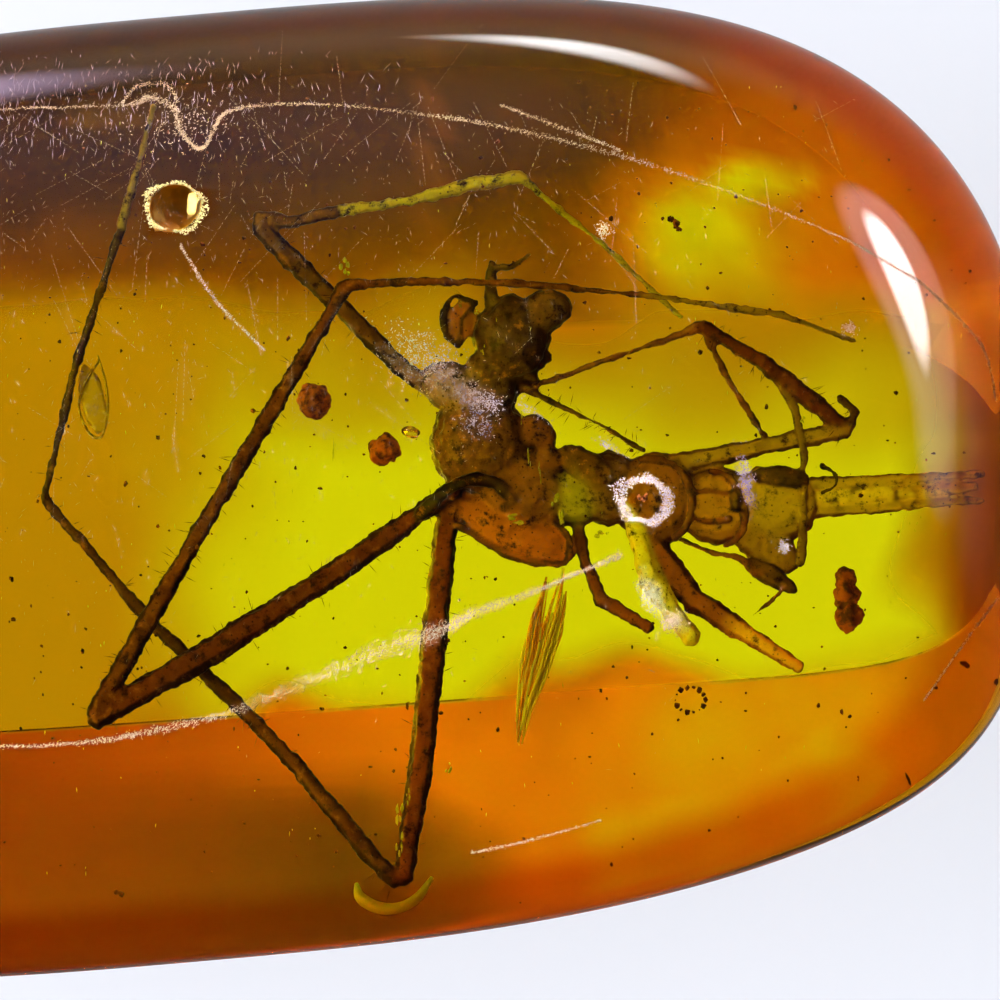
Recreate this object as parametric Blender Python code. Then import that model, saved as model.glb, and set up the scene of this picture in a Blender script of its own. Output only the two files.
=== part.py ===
"""A polished Baltic amber nugget with a long-legged insect sealed in it.

Units are metres, +Z is up. The stone lies on the flat face under it, with that face's plane at z = 0 and
its own middle at x = y = 0. The length runs along X. The stone is parted at its girdle, so that the insect
and the small things beside it each lie in a pocket of their own shape.
"""

import math

import bmesh
import bpy
from mathutils import Matrix, Vector

MM = 0.001

# The stone: a rounded plan with a slightly curved midline, a belly that rises from a long flat face to the
# girdle, and a domed top. Its widest outline, the girdle, is also where it is parted.
HALF_LENGTH = 20.9
HALF_WIDTH = 12.0
HEIGHT = 12.5
GIRDLE_HEIGHT = 7.2
PLAN_POWER = 2.95
MIDLINE_BEND = 1.85
FLAT_HALF_LENGTH = 17.6
FLAT_HALF_WIDTH = 4.1
FLAT_Y = -0.2
FLAT_POWER = 6.0
FLAT_BEND = 1.6
DOME_POWER = 2.4
RING_POINTS = 72
BELLY_RINGS = 6
DOME_RINGS = 8

# The gap between the halves, and the room left round what is sealed in them.
PART_GAP = 0.3
POCKET_ROOM = 0.35
POCKET_SIDES = 8

# The two open pits on the dome: x, y, z of the middle, radius and depth.
OPEN_PIT = (-0.55, 6.15, 11.95, 0.75, 0.55)
RING_PIT = (11.05, -1.2, 11.9, 0.7, 0.45)

# The insect's limbs. Each point is x, y, z and the limb's radius there, in millimetres.
LIMBS = {
    "left_thigh": [
        (6.3, -0.35, 6.9, 0.27),
        (3.25, -2.45, 7.3, 0.30),
        (0.4, -4.25, 7.8, 0.34),
        (-2.6, -5.95, 8.1, 0.29),
    ],
    "left_shin": [
        (-2.6, -5.95, 8.1, 0.24),
        (-0.8, -2.95, 8.2, 0.24),
        (1.4, 0.7, 8.3, 0.23),
        (3.65, 4.45, 8.3, 0.19),
    ],
    "left_foot": [
        (3.65, 4.45, 8.3, 0.16),
        (5.45, 4.55, 8.4, 0.11),
        (7.45, 4.55, 8.5, 0.11),
        (10.85, 4.3, 8.5, 0.10),
        (14.25, 3.9, 8.2, 0.09),
        (16.05, 3.3, 7.9, 0.06),
    ],
    "low_thigh": [
        (6.3, -0.1, 6.7, 0.27),
        (6.05, -1.2, 6.7, 0.29),
        (5.8, -3.4, 6.9, 0.33),
        (5.45, -6.65, 7.1, 0.33),
        (5.0, -9.4, 7.3, 0.25),
    ],
    "low_shin": [
        (4.85, -9.45, 7.3, 0.21),
        (4.2, -8.8, 7.2, 0.23),
        (2.5, -6.85, 7.0, 0.21),
        (1.0, -5.4, 6.9, 0.19),
        (-1.2, -3.5, 6.9, 0.16),
        (-3.8, -0.65, 7.1, 0.12),
    ],
    "low_foot": [
        (-3.8, -0.65, 7.1, 0.11),
        (-3.05, 2.55, 7.2, 0.12),
        (-1.95, 5.75, 7.4, 0.12),
        (-1.1, 8.75, 7.6, 0.09),
    ],
    "upper_thigh": [
        (5.9, 2.0, 6.8, 0.24),
        (5.05, 2.6, 6.75, 0.23),
        (3.25, 4.25, 7.1, 0.27),
        (1.5, 5.9, 7.5, 0.24),
    ],
    "upper_shin": [
        (1.45, 6.1, 7.5, 0.20),
        (2.25, 6.0, 7.5, 0.18),
        (3.65, 6.3, 7.5, 0.15),
        (5.25, 6.55, 7.4, 0.14),
        (6.7, 6.95, 7.3, 0.17),
        (7.95, 7.15, 7.2, 0.16),
    ],
    "upper_foot": [
        (7.95, 7.15, 7.2, 0.13),
        (8.6, 6.6, 7.2, 0.10),
        (9.85, 5.65, 7.1, 0.08),
        (11.75, 3.95, 6.9, 0.06),
    ],
    "right_thigh": [(9.8, -0.05, 6.5, 0.27), (12.7, 0.55, 6.7, 0.26), (15.75, 1.2, 7.0, 0.22)],
    "right_knee": [(15.7, 1.1, 7.0, 0.20), (15.95, 1.65, 7.0, 0.15), (15.55, 2.0, 7.05, 0.11)],
    "right_shin": [
        (15.75, 1.2, 7.0, 0.22),
        (15.0, 1.8, 7.1, 0.26),
        (13.7, 2.85, 7.2, 0.21),
        (12.25, 3.7, 7.4, 0.17),
    ],
    "right_foot": [
        (12.25, 3.7, 7.4, 0.13),
        (11.55, 3.4, 7.3, 0.09),
        (9.8, 2.8, 7.1, 0.09),
        (7.6, 2.0, 6.8, 0.09),
    ],
    "right_spur": [(12.3, 3.6, 7.35, 0.11), (12.95, 2.3, 7.2, 0.10), (13.75, 1.0, 7.0, 0.09)],
    "thin_foot": [
        (14.0, 2.6, 7.2, 0.11),
        (14.5, 1.65, 7.15, 0.11),
        (14.7, 0.6, 7.1, 0.10),
        (14.7, -0.55, 7.0, 0.10),
        (14.6, -2.1, 6.9, 0.13),
    ],
    "rear_thigh": [(10.75, -1.35, 6.6, 0.42), (12.0, -2.9, 6.8, 0.32), (14.65, -4.5, 7.0, 0.15)],
    "rear_claw": [
        (9.15, -0.8, 6.6, 0.16),
        (9.4, -2.0, 6.65, 0.16),
        (9.8, -2.9, 6.7, 0.19),
        (11.0, -3.6, 6.95, 0.13),
    ],
    "pale_rod": [(10.45, -0.7, 6.7, 0.22), (11.0, -2.5, 7.1, 0.30), (12.05, -3.9, 7.3, 0.24)],
    "feeler": [
        (7.5, 2.35, 6.9, 0.14),
        (8.35, 1.95, 6.9, 0.10),
        (9.8, 1.25, 7.0, 0.07),
        (10.85, 0.6, 6.95, 0.08),
    ],
    "horn": [(7.3, 3.85, 7.1, 0.27), (7.15, 4.55, 7.2, 0.17), (7.2, 5.15, 7.25, 0.10)],
    "horn_hook": [(7.2, 5.0, 7.25, 0.08), (7.7, 5.05, 7.25, 0.07), (8.15, 5.35, 7.25, 0.05)],
    "tail_upper": [(14.2, -0.2, 6.5, 0.22), (16.5, 0.0, 6.5, 0.17), (18.9, 0.25, 6.5, 0.11)],
    "tail_lower": [(14.2, -0.8, 6.4, 0.20), (16.5, -0.65, 6.4, 0.14), (18.9, -0.4, 6.45, 0.10)],
}
LIMB_SIDES = 6
# How far a limb's blunt nose stands out, as a share of the radius there.
NOSE_SHARE = 0.6

# The insect's body, as lumps: x, y, z, the three half sizes, and the turn about Z in degrees.
BODY = {
    "head": (7.65, 3.35, 7.0, 0.95, 1.10, 0.75, 0),
    "head_lobe": (8.45, 4.0, 7.1, 0.70, 0.52, 0.50, 15),
    "jaw_upper": (8.2, 3.0, 7.0, 0.42, 0.22, 0.25, -20),
    "jaw_lower": (7.95, 2.5, 7.0, 0.36, 0.24, 0.25, -35),
    "collar": (6.4, 2.05, 6.9, 1.05, 0.66, 0.60, -30),
    "neck": (7.1, 2.2, 6.9, 0.75, 0.95, 0.60, 0),
    "thorax": (6.85, 0.8, 6.8, 1.25, 1.35, 0.85, 0),
    "thorax_rear": (7.9, -0.4, 6.7, 1.20, 1.05, 0.80, -20),
    "belly_lobe": (7.7, -1.25, 6.6, 1.60, 0.72, 0.65, -24),
    "waist": (9.1, -0.5, 6.6, 0.85, 0.70, 0.60, 0),
    "abdomen_1": (9.95, -0.25, 6.5, 0.90, 0.92, 0.75, 0),
    "abdomen_2": (11.1, -0.5, 6.5, 1.05, 1.15, 0.80, 0),
    "abdomen_3": (12.6, -0.65, 6.5, 1.00, 0.95, 0.70, 0),
    "abdomen_4": (13.95, -0.55, 6.5, 1.10, 0.95, 0.65, -8),
    "abdomen_tip": (13.75, -1.6, 6.5, 0.95, 0.50, 0.45, -35),
}
BODY_SEGMENTS = 12
BODY_RINGS = 8

# A mesh is shaded smooth up to this angle between faces, in degrees.
SHARP_ANGLE = 40
AMBER_IOR = 1.54
AMBER_COLOUR = "#DDA010"
AMBER_ROUGHNESS = 0.05

# The two pockets that hold the body, and the lumps each of them wraps.
BODY_POCKETS = {
    "head_end": ("head", "head_lobe", "collar", "thorax"),
    "tail_end": ("thorax", "belly_lobe", "abdomen_2", "abdomen_4", "abdomen_tip"),
}

# The small things sealed in beside the insect.
SLIVER_POINTS = [
    (8.9, -2.3, 6.9, 0.10),
    (8.7, -3.1, 7.0, 0.30),
    (8.45, -4.1, 7.1, 0.40),
    (8.15, -5.2, 7.2, 0.28),
    (7.85, -6.3, 7.2, 0.08),
]
SLIVER_RIDGES = 5
SLIVER_RIDGE_DEPTH = 0.35
PELLET_ROUND = (2.85, 1.8, 6.95, 0.43)
PELLET_SMALL = (4.55, 0.6, 6.9, 0.40)
PELLET_DIMPLE = 0.10
CRUMB_LUMPS = [(15.7, -2.45, 7.0, 0.27), (15.75, -2.85, 7.0, 0.32), (15.8, -3.3, 7.0, 0.36)]
CRUMB_ROUGHNESS = 0.22
# The slow waves of a rough ball's surface along X, Y and Z, and where the waves start on each ball.
BALL_WAVES = (4.1, 3.7, 4.5)
PELLET_ROUND_PHASE = 0.7
PELLET_SMALL_PHASE = 2.1
CRUMB_PHASES = (0.5, 1.5, 2.5)


def mm(*values):
    """The vector of these millimetre values, in metres."""
    return Vector(values) * MM


def clear_scene():
    for obj in list(bpy.data.objects):
        bpy.data.objects.remove(obj)


def srgb(code):
    """A hex colour as linear RGBA."""
    parts = [int(code[i : i + 2], 16) / 255 for i in (1, 3, 5)]
    linear = [c / 12.92 if c <= 0.04045 else ((c + 0.055) / 1.055) ** 2.4 for c in parts]
    return (*linear, 1.0)


def material(name, colour, roughness, transmission=0.0):
    made = bpy.data.materials.new(name)
    made.use_nodes = True
    shader = made.node_tree.nodes["Principled BSDF"]
    shader.inputs["Base Color"].default_value = srgb(colour)
    shader.inputs["Roughness"].default_value = roughness
    shader.inputs["Metallic"].default_value = 0.0
    shader.inputs["IOR"].default_value = AMBER_IOR
    shader.inputs["Transmission Weight"].default_value = transmission
    made.diffuse_color = srgb(colour)
    return made


def new_object(name, mesh_builder, finish):
    """An object of this name whose mesh holds what is in the bmesh, shaded smooth except at its edges."""
    bmesh.ops.recalc_face_normals(mesh_builder, faces=mesh_builder.faces)
    mesh = bpy.data.meshes.new(name)
    mesh_builder.to_mesh(mesh)
    mesh_builder.free()
    mesh.shade_smooth()
    mesh.set_sharp_from_angle(angle=math.radians(SHARP_ANGLE))
    mesh.materials.append(finish)
    obj = bpy.data.objects.new(name, mesh)
    bpy.context.scene.collection.objects.link(obj)
    return obj


def helper_collection(name):
    made = bpy.data.collections.new(name)
    bpy.context.scene.collection.children.link(made)
    return made


def keep_as_helper(obj, collection):
    """Moves an object to a collection of shapes that only join or cut another one."""
    bpy.context.scene.collection.objects.unlink(obj)
    collection.objects.link(obj)
    obj.hide_render = True
    obj.display_type = "WIRE"


def boolean(obj, name, operation, collection):
    modifier = obj.modifiers.new(name, "BOOLEAN")
    modifier.operation = operation
    modifier.solver = "EXACT"
    modifier.operand_type = "COLLECTION"
    modifier.collection = collection


def signed_power(value, power):
    return math.copysign(abs(value) ** power, value)


def midline(x, bend):
    """How far the plan's midline is bent sideways at x."""
    share = max(-1.0, min(1.0, x / HALF_LENGTH))
    return bend * share * (1 - abs(share) ** 4)


def plan_ring(half_length, half_width, power, z, y=0.0, bend=MIDLINE_BEND):
    """The points of one closed ring round the stone, in millimetres."""
    points = []
    for i in range(RING_POINTS):
        angle = 2 * math.pi * i / RING_POINTS
        px = half_length * signed_power(math.cos(angle), 2 / power)
        py = half_width * signed_power(math.sin(angle), 2 / power)
        points.append(Vector((px, y + py + midline(px, bend), z)))
    return points


def belly_ring(share):
    """A ring of the underside, from the flat face at 0 to the girdle at 1, where the wall stands upright."""
    z = GIRDLE_HEIGHT * share
    flat = plan_ring(FLAT_HALF_LENGTH, FLAT_HALF_WIDTH, FLAT_POWER, z, FLAT_Y, FLAT_BEND)
    girdle = plan_ring(HALF_LENGTH, HALF_WIDTH, PLAN_POWER, z)
    return [low.lerp(high, math.sin(share * math.pi / 2)) for low, high in zip(flat, girdle)]


def dome_ring(share):
    """A ring of the top, from the girdle at 0 up to near the crown at 1."""
    reach = math.cos(share * math.pi / 2) ** (2 / DOME_POWER)
    z = GIRDLE_HEIGHT + (HEIGHT - GIRDLE_HEIGHT) * math.sin(share * math.pi / 2)
    return plan_ring(HALF_LENGTH * reach, HALF_WIDTH * reach, PLAN_POWER, z)


def closed_rings(rings, crown=None):
    """A closed mesh skinned over rings of equally many points, with flat caps or a crown point at the top."""
    builder = bmesh.new()
    loops = [[builder.verts.new(point * MM) for point in ring] for ring in rings]
    for low, high in zip(loops, loops[1:]):
        count = len(low)
        for i in range(count):
            builder.faces.new((low[i], low[(i + 1) % count], high[(i + 1) % count], high[i]))
    builder.faces.new(reversed(loops[0]))
    if crown is None:
        builder.faces.new(loops[-1])
        return builder
    peak = builder.verts.new(crown * MM)
    for i in range(len(loops[-1])):
        builder.faces.new((loops[-1][i], loops[-1][(i + 1) % len(loops[-1])], peak))
    return builder


def amber_lower_half(finish):
    top_share = 1 - PART_GAP / 2 / GIRDLE_HEIGHT
    rings = [belly_ring(top_share * i / BELLY_RINGS) for i in range(BELLY_RINGS + 1)]
    return new_object("amber_lower_half", closed_rings(rings), finish)


def amber_upper_half(finish):
    first_share = math.asin(PART_GAP / 2 / (HEIGHT - GIRDLE_HEIGHT)) * 2 / math.pi
    rings = [dome_ring(first_share + (1 - first_share) * i / DOME_RINGS) for i in range(DOME_RINGS)]
    return new_object("amber_upper_half", closed_rings(rings, Vector((0, 0, HEIGHT))), finish)


def limb_mesh(points, sides, radius_at=lambda i, side: 1.0):
    """A tapering tube through points of x, y, z and radius, with a blunt nose at each end."""
    middles = [Vector(p[:3]) for p in points]
    last = len(points) - 1
    builder = bmesh.new()
    loops = []
    for i, (middle, point) in enumerate(zip(middles, points)):
        along = (middles[min(i + 1, last)] - middles[max(i - 1, 0)]).normalized()
        across = along.cross(Vector((0, 0, 1))).normalized()
        up = across.cross(along)
        loop = []
        for side in range(sides):
            angle = 2 * math.pi * side / sides
            reach = point[3] * radius_at(i, side)
            out = across * math.cos(angle) + up * math.sin(angle)
            loop.append(builder.verts.new((middle + out * reach) * MM))
        loops.append(loop)
    for low, high in zip(loops, loops[1:]):
        for i in range(sides):
            builder.faces.new((low[i], low[(i + 1) % sides], high[(i + 1) % sides], high[i]))
    for end, loop in ((0, loops[0]), (last, loops[-1])):
        outward = (middles[end] - middles[1 if end == 0 else last - 1]).normalized()
        nose = builder.verts.new((middles[end] + outward * points[end][3] * NOSE_SHARE) * MM)
        for i in range(sides):
            builder.faces.new((loop[i], loop[(i + 1) % sides], nose))
    return builder


def lump_mesh(lump):
    """One rounded lump of the body."""
    x, y, z, half_x, half_y, half_z, turn = lump
    builder = bmesh.new()
    place = Matrix.Translation(mm(x, y, z)) @ Matrix.Rotation(math.radians(turn), 4, "Z")
    size = Matrix.Diagonal((*mm(half_x, half_y, half_z), 1.0))
    bmesh.ops.create_uvsphere(
        builder, u_segments=BODY_SEGMENTS, v_segments=BODY_RINGS, radius=1.0, matrix=place @ size
    )
    return builder


def insect(finish):
    """The thorax, joined with every other lump and limb into one solid."""
    pieces = helper_collection("insect_pieces")
    for name, lump in BODY.items():
        if name != "thorax":
            keep_as_helper(new_object("insect_" + name, lump_mesh(lump), finish), pieces)
    for name, points in LIMBS.items():
        keep_as_helper(new_object("insect_" + name, limb_mesh(points, LIMB_SIDES), finish), pieces)
    made = new_object("insect", lump_mesh(BODY["thorax"]), finish)
    boolean(made, "join_body_and_limbs", "UNION", pieces)
    return made


def plant_sliver(finish):
    """A spindle with ridges along it, like a torn strip of fibre."""
    sides = SLIVER_RIDGES * 2

    def ridged(_, side):
        return 1.0 if side % 2 == 0 else 1.0 - SLIVER_RIDGE_DEPTH

    return new_object("plant_sliver", limb_mesh(SLIVER_POINTS, sides, ridged), finish)


def rough_ball(middle, radius, roughness, phase):
    """A ball whose surface goes in and out in slow waves."""
    builder = bmesh.new()
    bmesh.ops.create_icosphere(builder, subdivisions=2, radius=1.0)
    for vert in builder.verts:
        n = vert.co
        along_x, along_y, along_z = (share * value for share, value in zip(BALL_WAVES, n))
        wave = math.sin(along_x + phase) * math.sin(along_y + 2 * phase) * math.sin(along_z + phase)
        vert.co = (Vector(middle) + n * radius * (1 + roughness * wave)) * MM
    return builder


def pellet(name, place, phase, finish):
    x, y, z, radius = place
    return new_object(name, rough_ball((x, y, z), radius, PELLET_DIMPLE, phase), finish)


def bark_crumb(finish):
    """Three rough lumps in a row, joined into one crumb."""
    lumps = helper_collection("bark_crumb_pieces")
    balls = [
        rough_ball((x, y, z), radius, CRUMB_ROUGHNESS, phase)
        for (x, y, z, radius), phase in zip(CRUMB_LUMPS, CRUMB_PHASES)
    ]
    made = new_object("bark_crumb", balls[0], finish)
    for i, ball in enumerate(balls[1:], 1):
        keep_as_helper(new_object(f"bark_crumb_lump_{i}", ball, finish), lumps)
    boolean(made, "join_lumps", "UNION", lumps)
    return made


def pocket_mesh(points):
    """A hull round points of x, y, z and radius, opened as far as the plane where the stone is parted."""
    low = min(z - radius for _, _, z, radius in points) - POCKET_ROOM
    high = max(z + radius for _, _, z, radius in points) + POCKET_ROOM
    builder = bmesh.new()
    for x, y, _, radius in points:
        for side in range(POCKET_SIDES):
            angle = 2 * math.pi * (side + 0.5) / POCKET_SIDES
            reach = (radius + POCKET_ROOM) / math.cos(math.pi / POCKET_SIDES)
            for z in (min(low, GIRDLE_HEIGHT), max(high, GIRDLE_HEIGHT)):
                builder.verts.new(mm(x + reach * math.cos(angle), y + reach * math.sin(angle), z))
    bmesh.ops.convex_hull(builder, input=builder.verts)
    inside = [vert for vert in builder.verts if not vert.link_faces]
    bmesh.ops.delete(builder, geom=inside, context="VERTS")
    bmesh.ops.dissolve_limit(builder, angle_limit=math.radians(0.1), verts=builder.verts, edges=builder.edges)
    return builder


def pocket_points():
    """The pockets, as named lists of x, y, z and radius."""
    pockets = dict(LIMBS)
    lumps = {name: (*lump[:3], max(lump[3:5])) for name, lump in BODY.items()}
    for pocket, names in BODY_POCKETS.items():
        pockets[pocket] = [lumps[name] for name in names]
    pockets["plant_sliver"] = SLIVER_POINTS
    pockets["pellet_round"] = [PELLET_ROUND]
    pockets["pellet_small"] = [PELLET_SMALL]
    pockets["bark_crumb"] = CRUMB_LUMPS
    return pockets


def cut_pockets(halves, finish):
    cutters = helper_collection("pocket_cutters")
    for name, points in pocket_points().items():
        keep_as_helper(new_object("pocket_" + name, pocket_mesh(points), finish), cutters)
    for half in halves:
        boolean(half, "cut_pockets", "DIFFERENCE", cutters)


def cut_pits(half, finish):
    """Cuts the two open pits into the dome."""
    cutters = helper_collection("pit_cutters")
    for name, (x, y, z, radius, depth) in (("open_pit", OPEN_PIT), ("ring_pit", RING_PIT)):
        cutter = new_object(name, lump_mesh((x, y, z, radius, radius, depth, 0)), finish)
        keep_as_helper(cutter, cutters)
    boolean(half, "cut_pits", "DIFFERENCE", cutters)


def main():
    clear_scene()
    amber = material("amber_clear", AMBER_COLOUR, AMBER_ROUGHNESS, 1.0)
    lower = amber_lower_half(amber)
    upper = amber_upper_half(material("amber_clear_upper", AMBER_COLOUR, AMBER_ROUGHNESS, 1.0))
    insect(material("insect_cuticle", "#4A2A12", 0.45))
    plant_sliver(material("plant_fibre", "#D69A22", 0.6))
    pellet("pellet_round", PELLET_ROUND, PELLET_ROUND_PHASE, material("pellet_resin", "#8A4708", 0.5))
    pellet("pellet_small", PELLET_SMALL, PELLET_SMALL_PHASE, material("pellet_resin_small", "#8A4A0C", 0.5))
    bark_crumb(material("bark", "#6B3410", 0.8))
    cut_pockets((lower, upper), amber)
    cut_pits(upper, amber)


main()
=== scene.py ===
"""Looks, lights and camera for a polished amber nugget with a long-legged insect sealed in it.

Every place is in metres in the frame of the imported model: +Z is up and the nugget lies on z = 0. Sizes of
fine work are written in millimetres and multiplied by MM.
"""

import math
import random

import bmesh
import bpy
import numpy as np
from bpy.props import FloatProperty, FloatVectorProperty, IntProperty, PointerProperty, StringProperty
from mathutils import Matrix, Vector, noise


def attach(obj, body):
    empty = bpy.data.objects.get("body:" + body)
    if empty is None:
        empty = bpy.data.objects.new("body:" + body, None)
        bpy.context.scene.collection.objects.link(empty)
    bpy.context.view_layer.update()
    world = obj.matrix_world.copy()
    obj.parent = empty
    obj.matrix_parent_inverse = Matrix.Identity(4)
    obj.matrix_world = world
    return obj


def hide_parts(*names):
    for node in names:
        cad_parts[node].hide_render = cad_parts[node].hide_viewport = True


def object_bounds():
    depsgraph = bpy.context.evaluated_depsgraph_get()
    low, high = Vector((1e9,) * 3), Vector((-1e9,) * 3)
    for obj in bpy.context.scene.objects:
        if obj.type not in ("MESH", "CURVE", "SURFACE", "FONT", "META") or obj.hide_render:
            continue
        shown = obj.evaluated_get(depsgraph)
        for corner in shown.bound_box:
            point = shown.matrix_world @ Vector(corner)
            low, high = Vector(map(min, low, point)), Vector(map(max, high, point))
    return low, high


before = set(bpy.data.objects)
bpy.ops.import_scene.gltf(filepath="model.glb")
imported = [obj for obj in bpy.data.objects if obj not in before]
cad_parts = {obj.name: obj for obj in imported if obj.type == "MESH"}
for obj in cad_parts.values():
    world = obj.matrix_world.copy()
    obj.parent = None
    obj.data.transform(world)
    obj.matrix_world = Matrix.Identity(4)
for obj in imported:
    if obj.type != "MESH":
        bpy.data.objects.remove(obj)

CAD_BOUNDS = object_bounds()
CAD_LOW, CAD_HIGH = (Vector(corner) for corner in CAD_BOUNDS)
MM = 0.001

bl_info = {
    "name": "Amber nugget with insect",
    "version": (1, 0, 0),
    "blender": (4, 5, 0),
    "location": "3D View > Sidebar > Amber",
    "description": "Dresses a polished amber nugget and the insect sealed in it",
    "category": "Add Mesh",
}

# The nugget's form, in millimetres, as it was ground: see girdle, belly and dome below.
GIRDLE_HEIGHT = 7.2
PLAN_POWER = 2.95
MIDLINE_BEND = 1.85
FLAT_HALF_LENGTH = 17.6
FLAT_HALF_WIDTH = 4.1
FLAT_Y = -0.2
FLAT_POWER = 6.0
FLAT_BEND = 1.6
DOME_POWER = 2.4
HALF_WIDTH = 12.0

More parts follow.
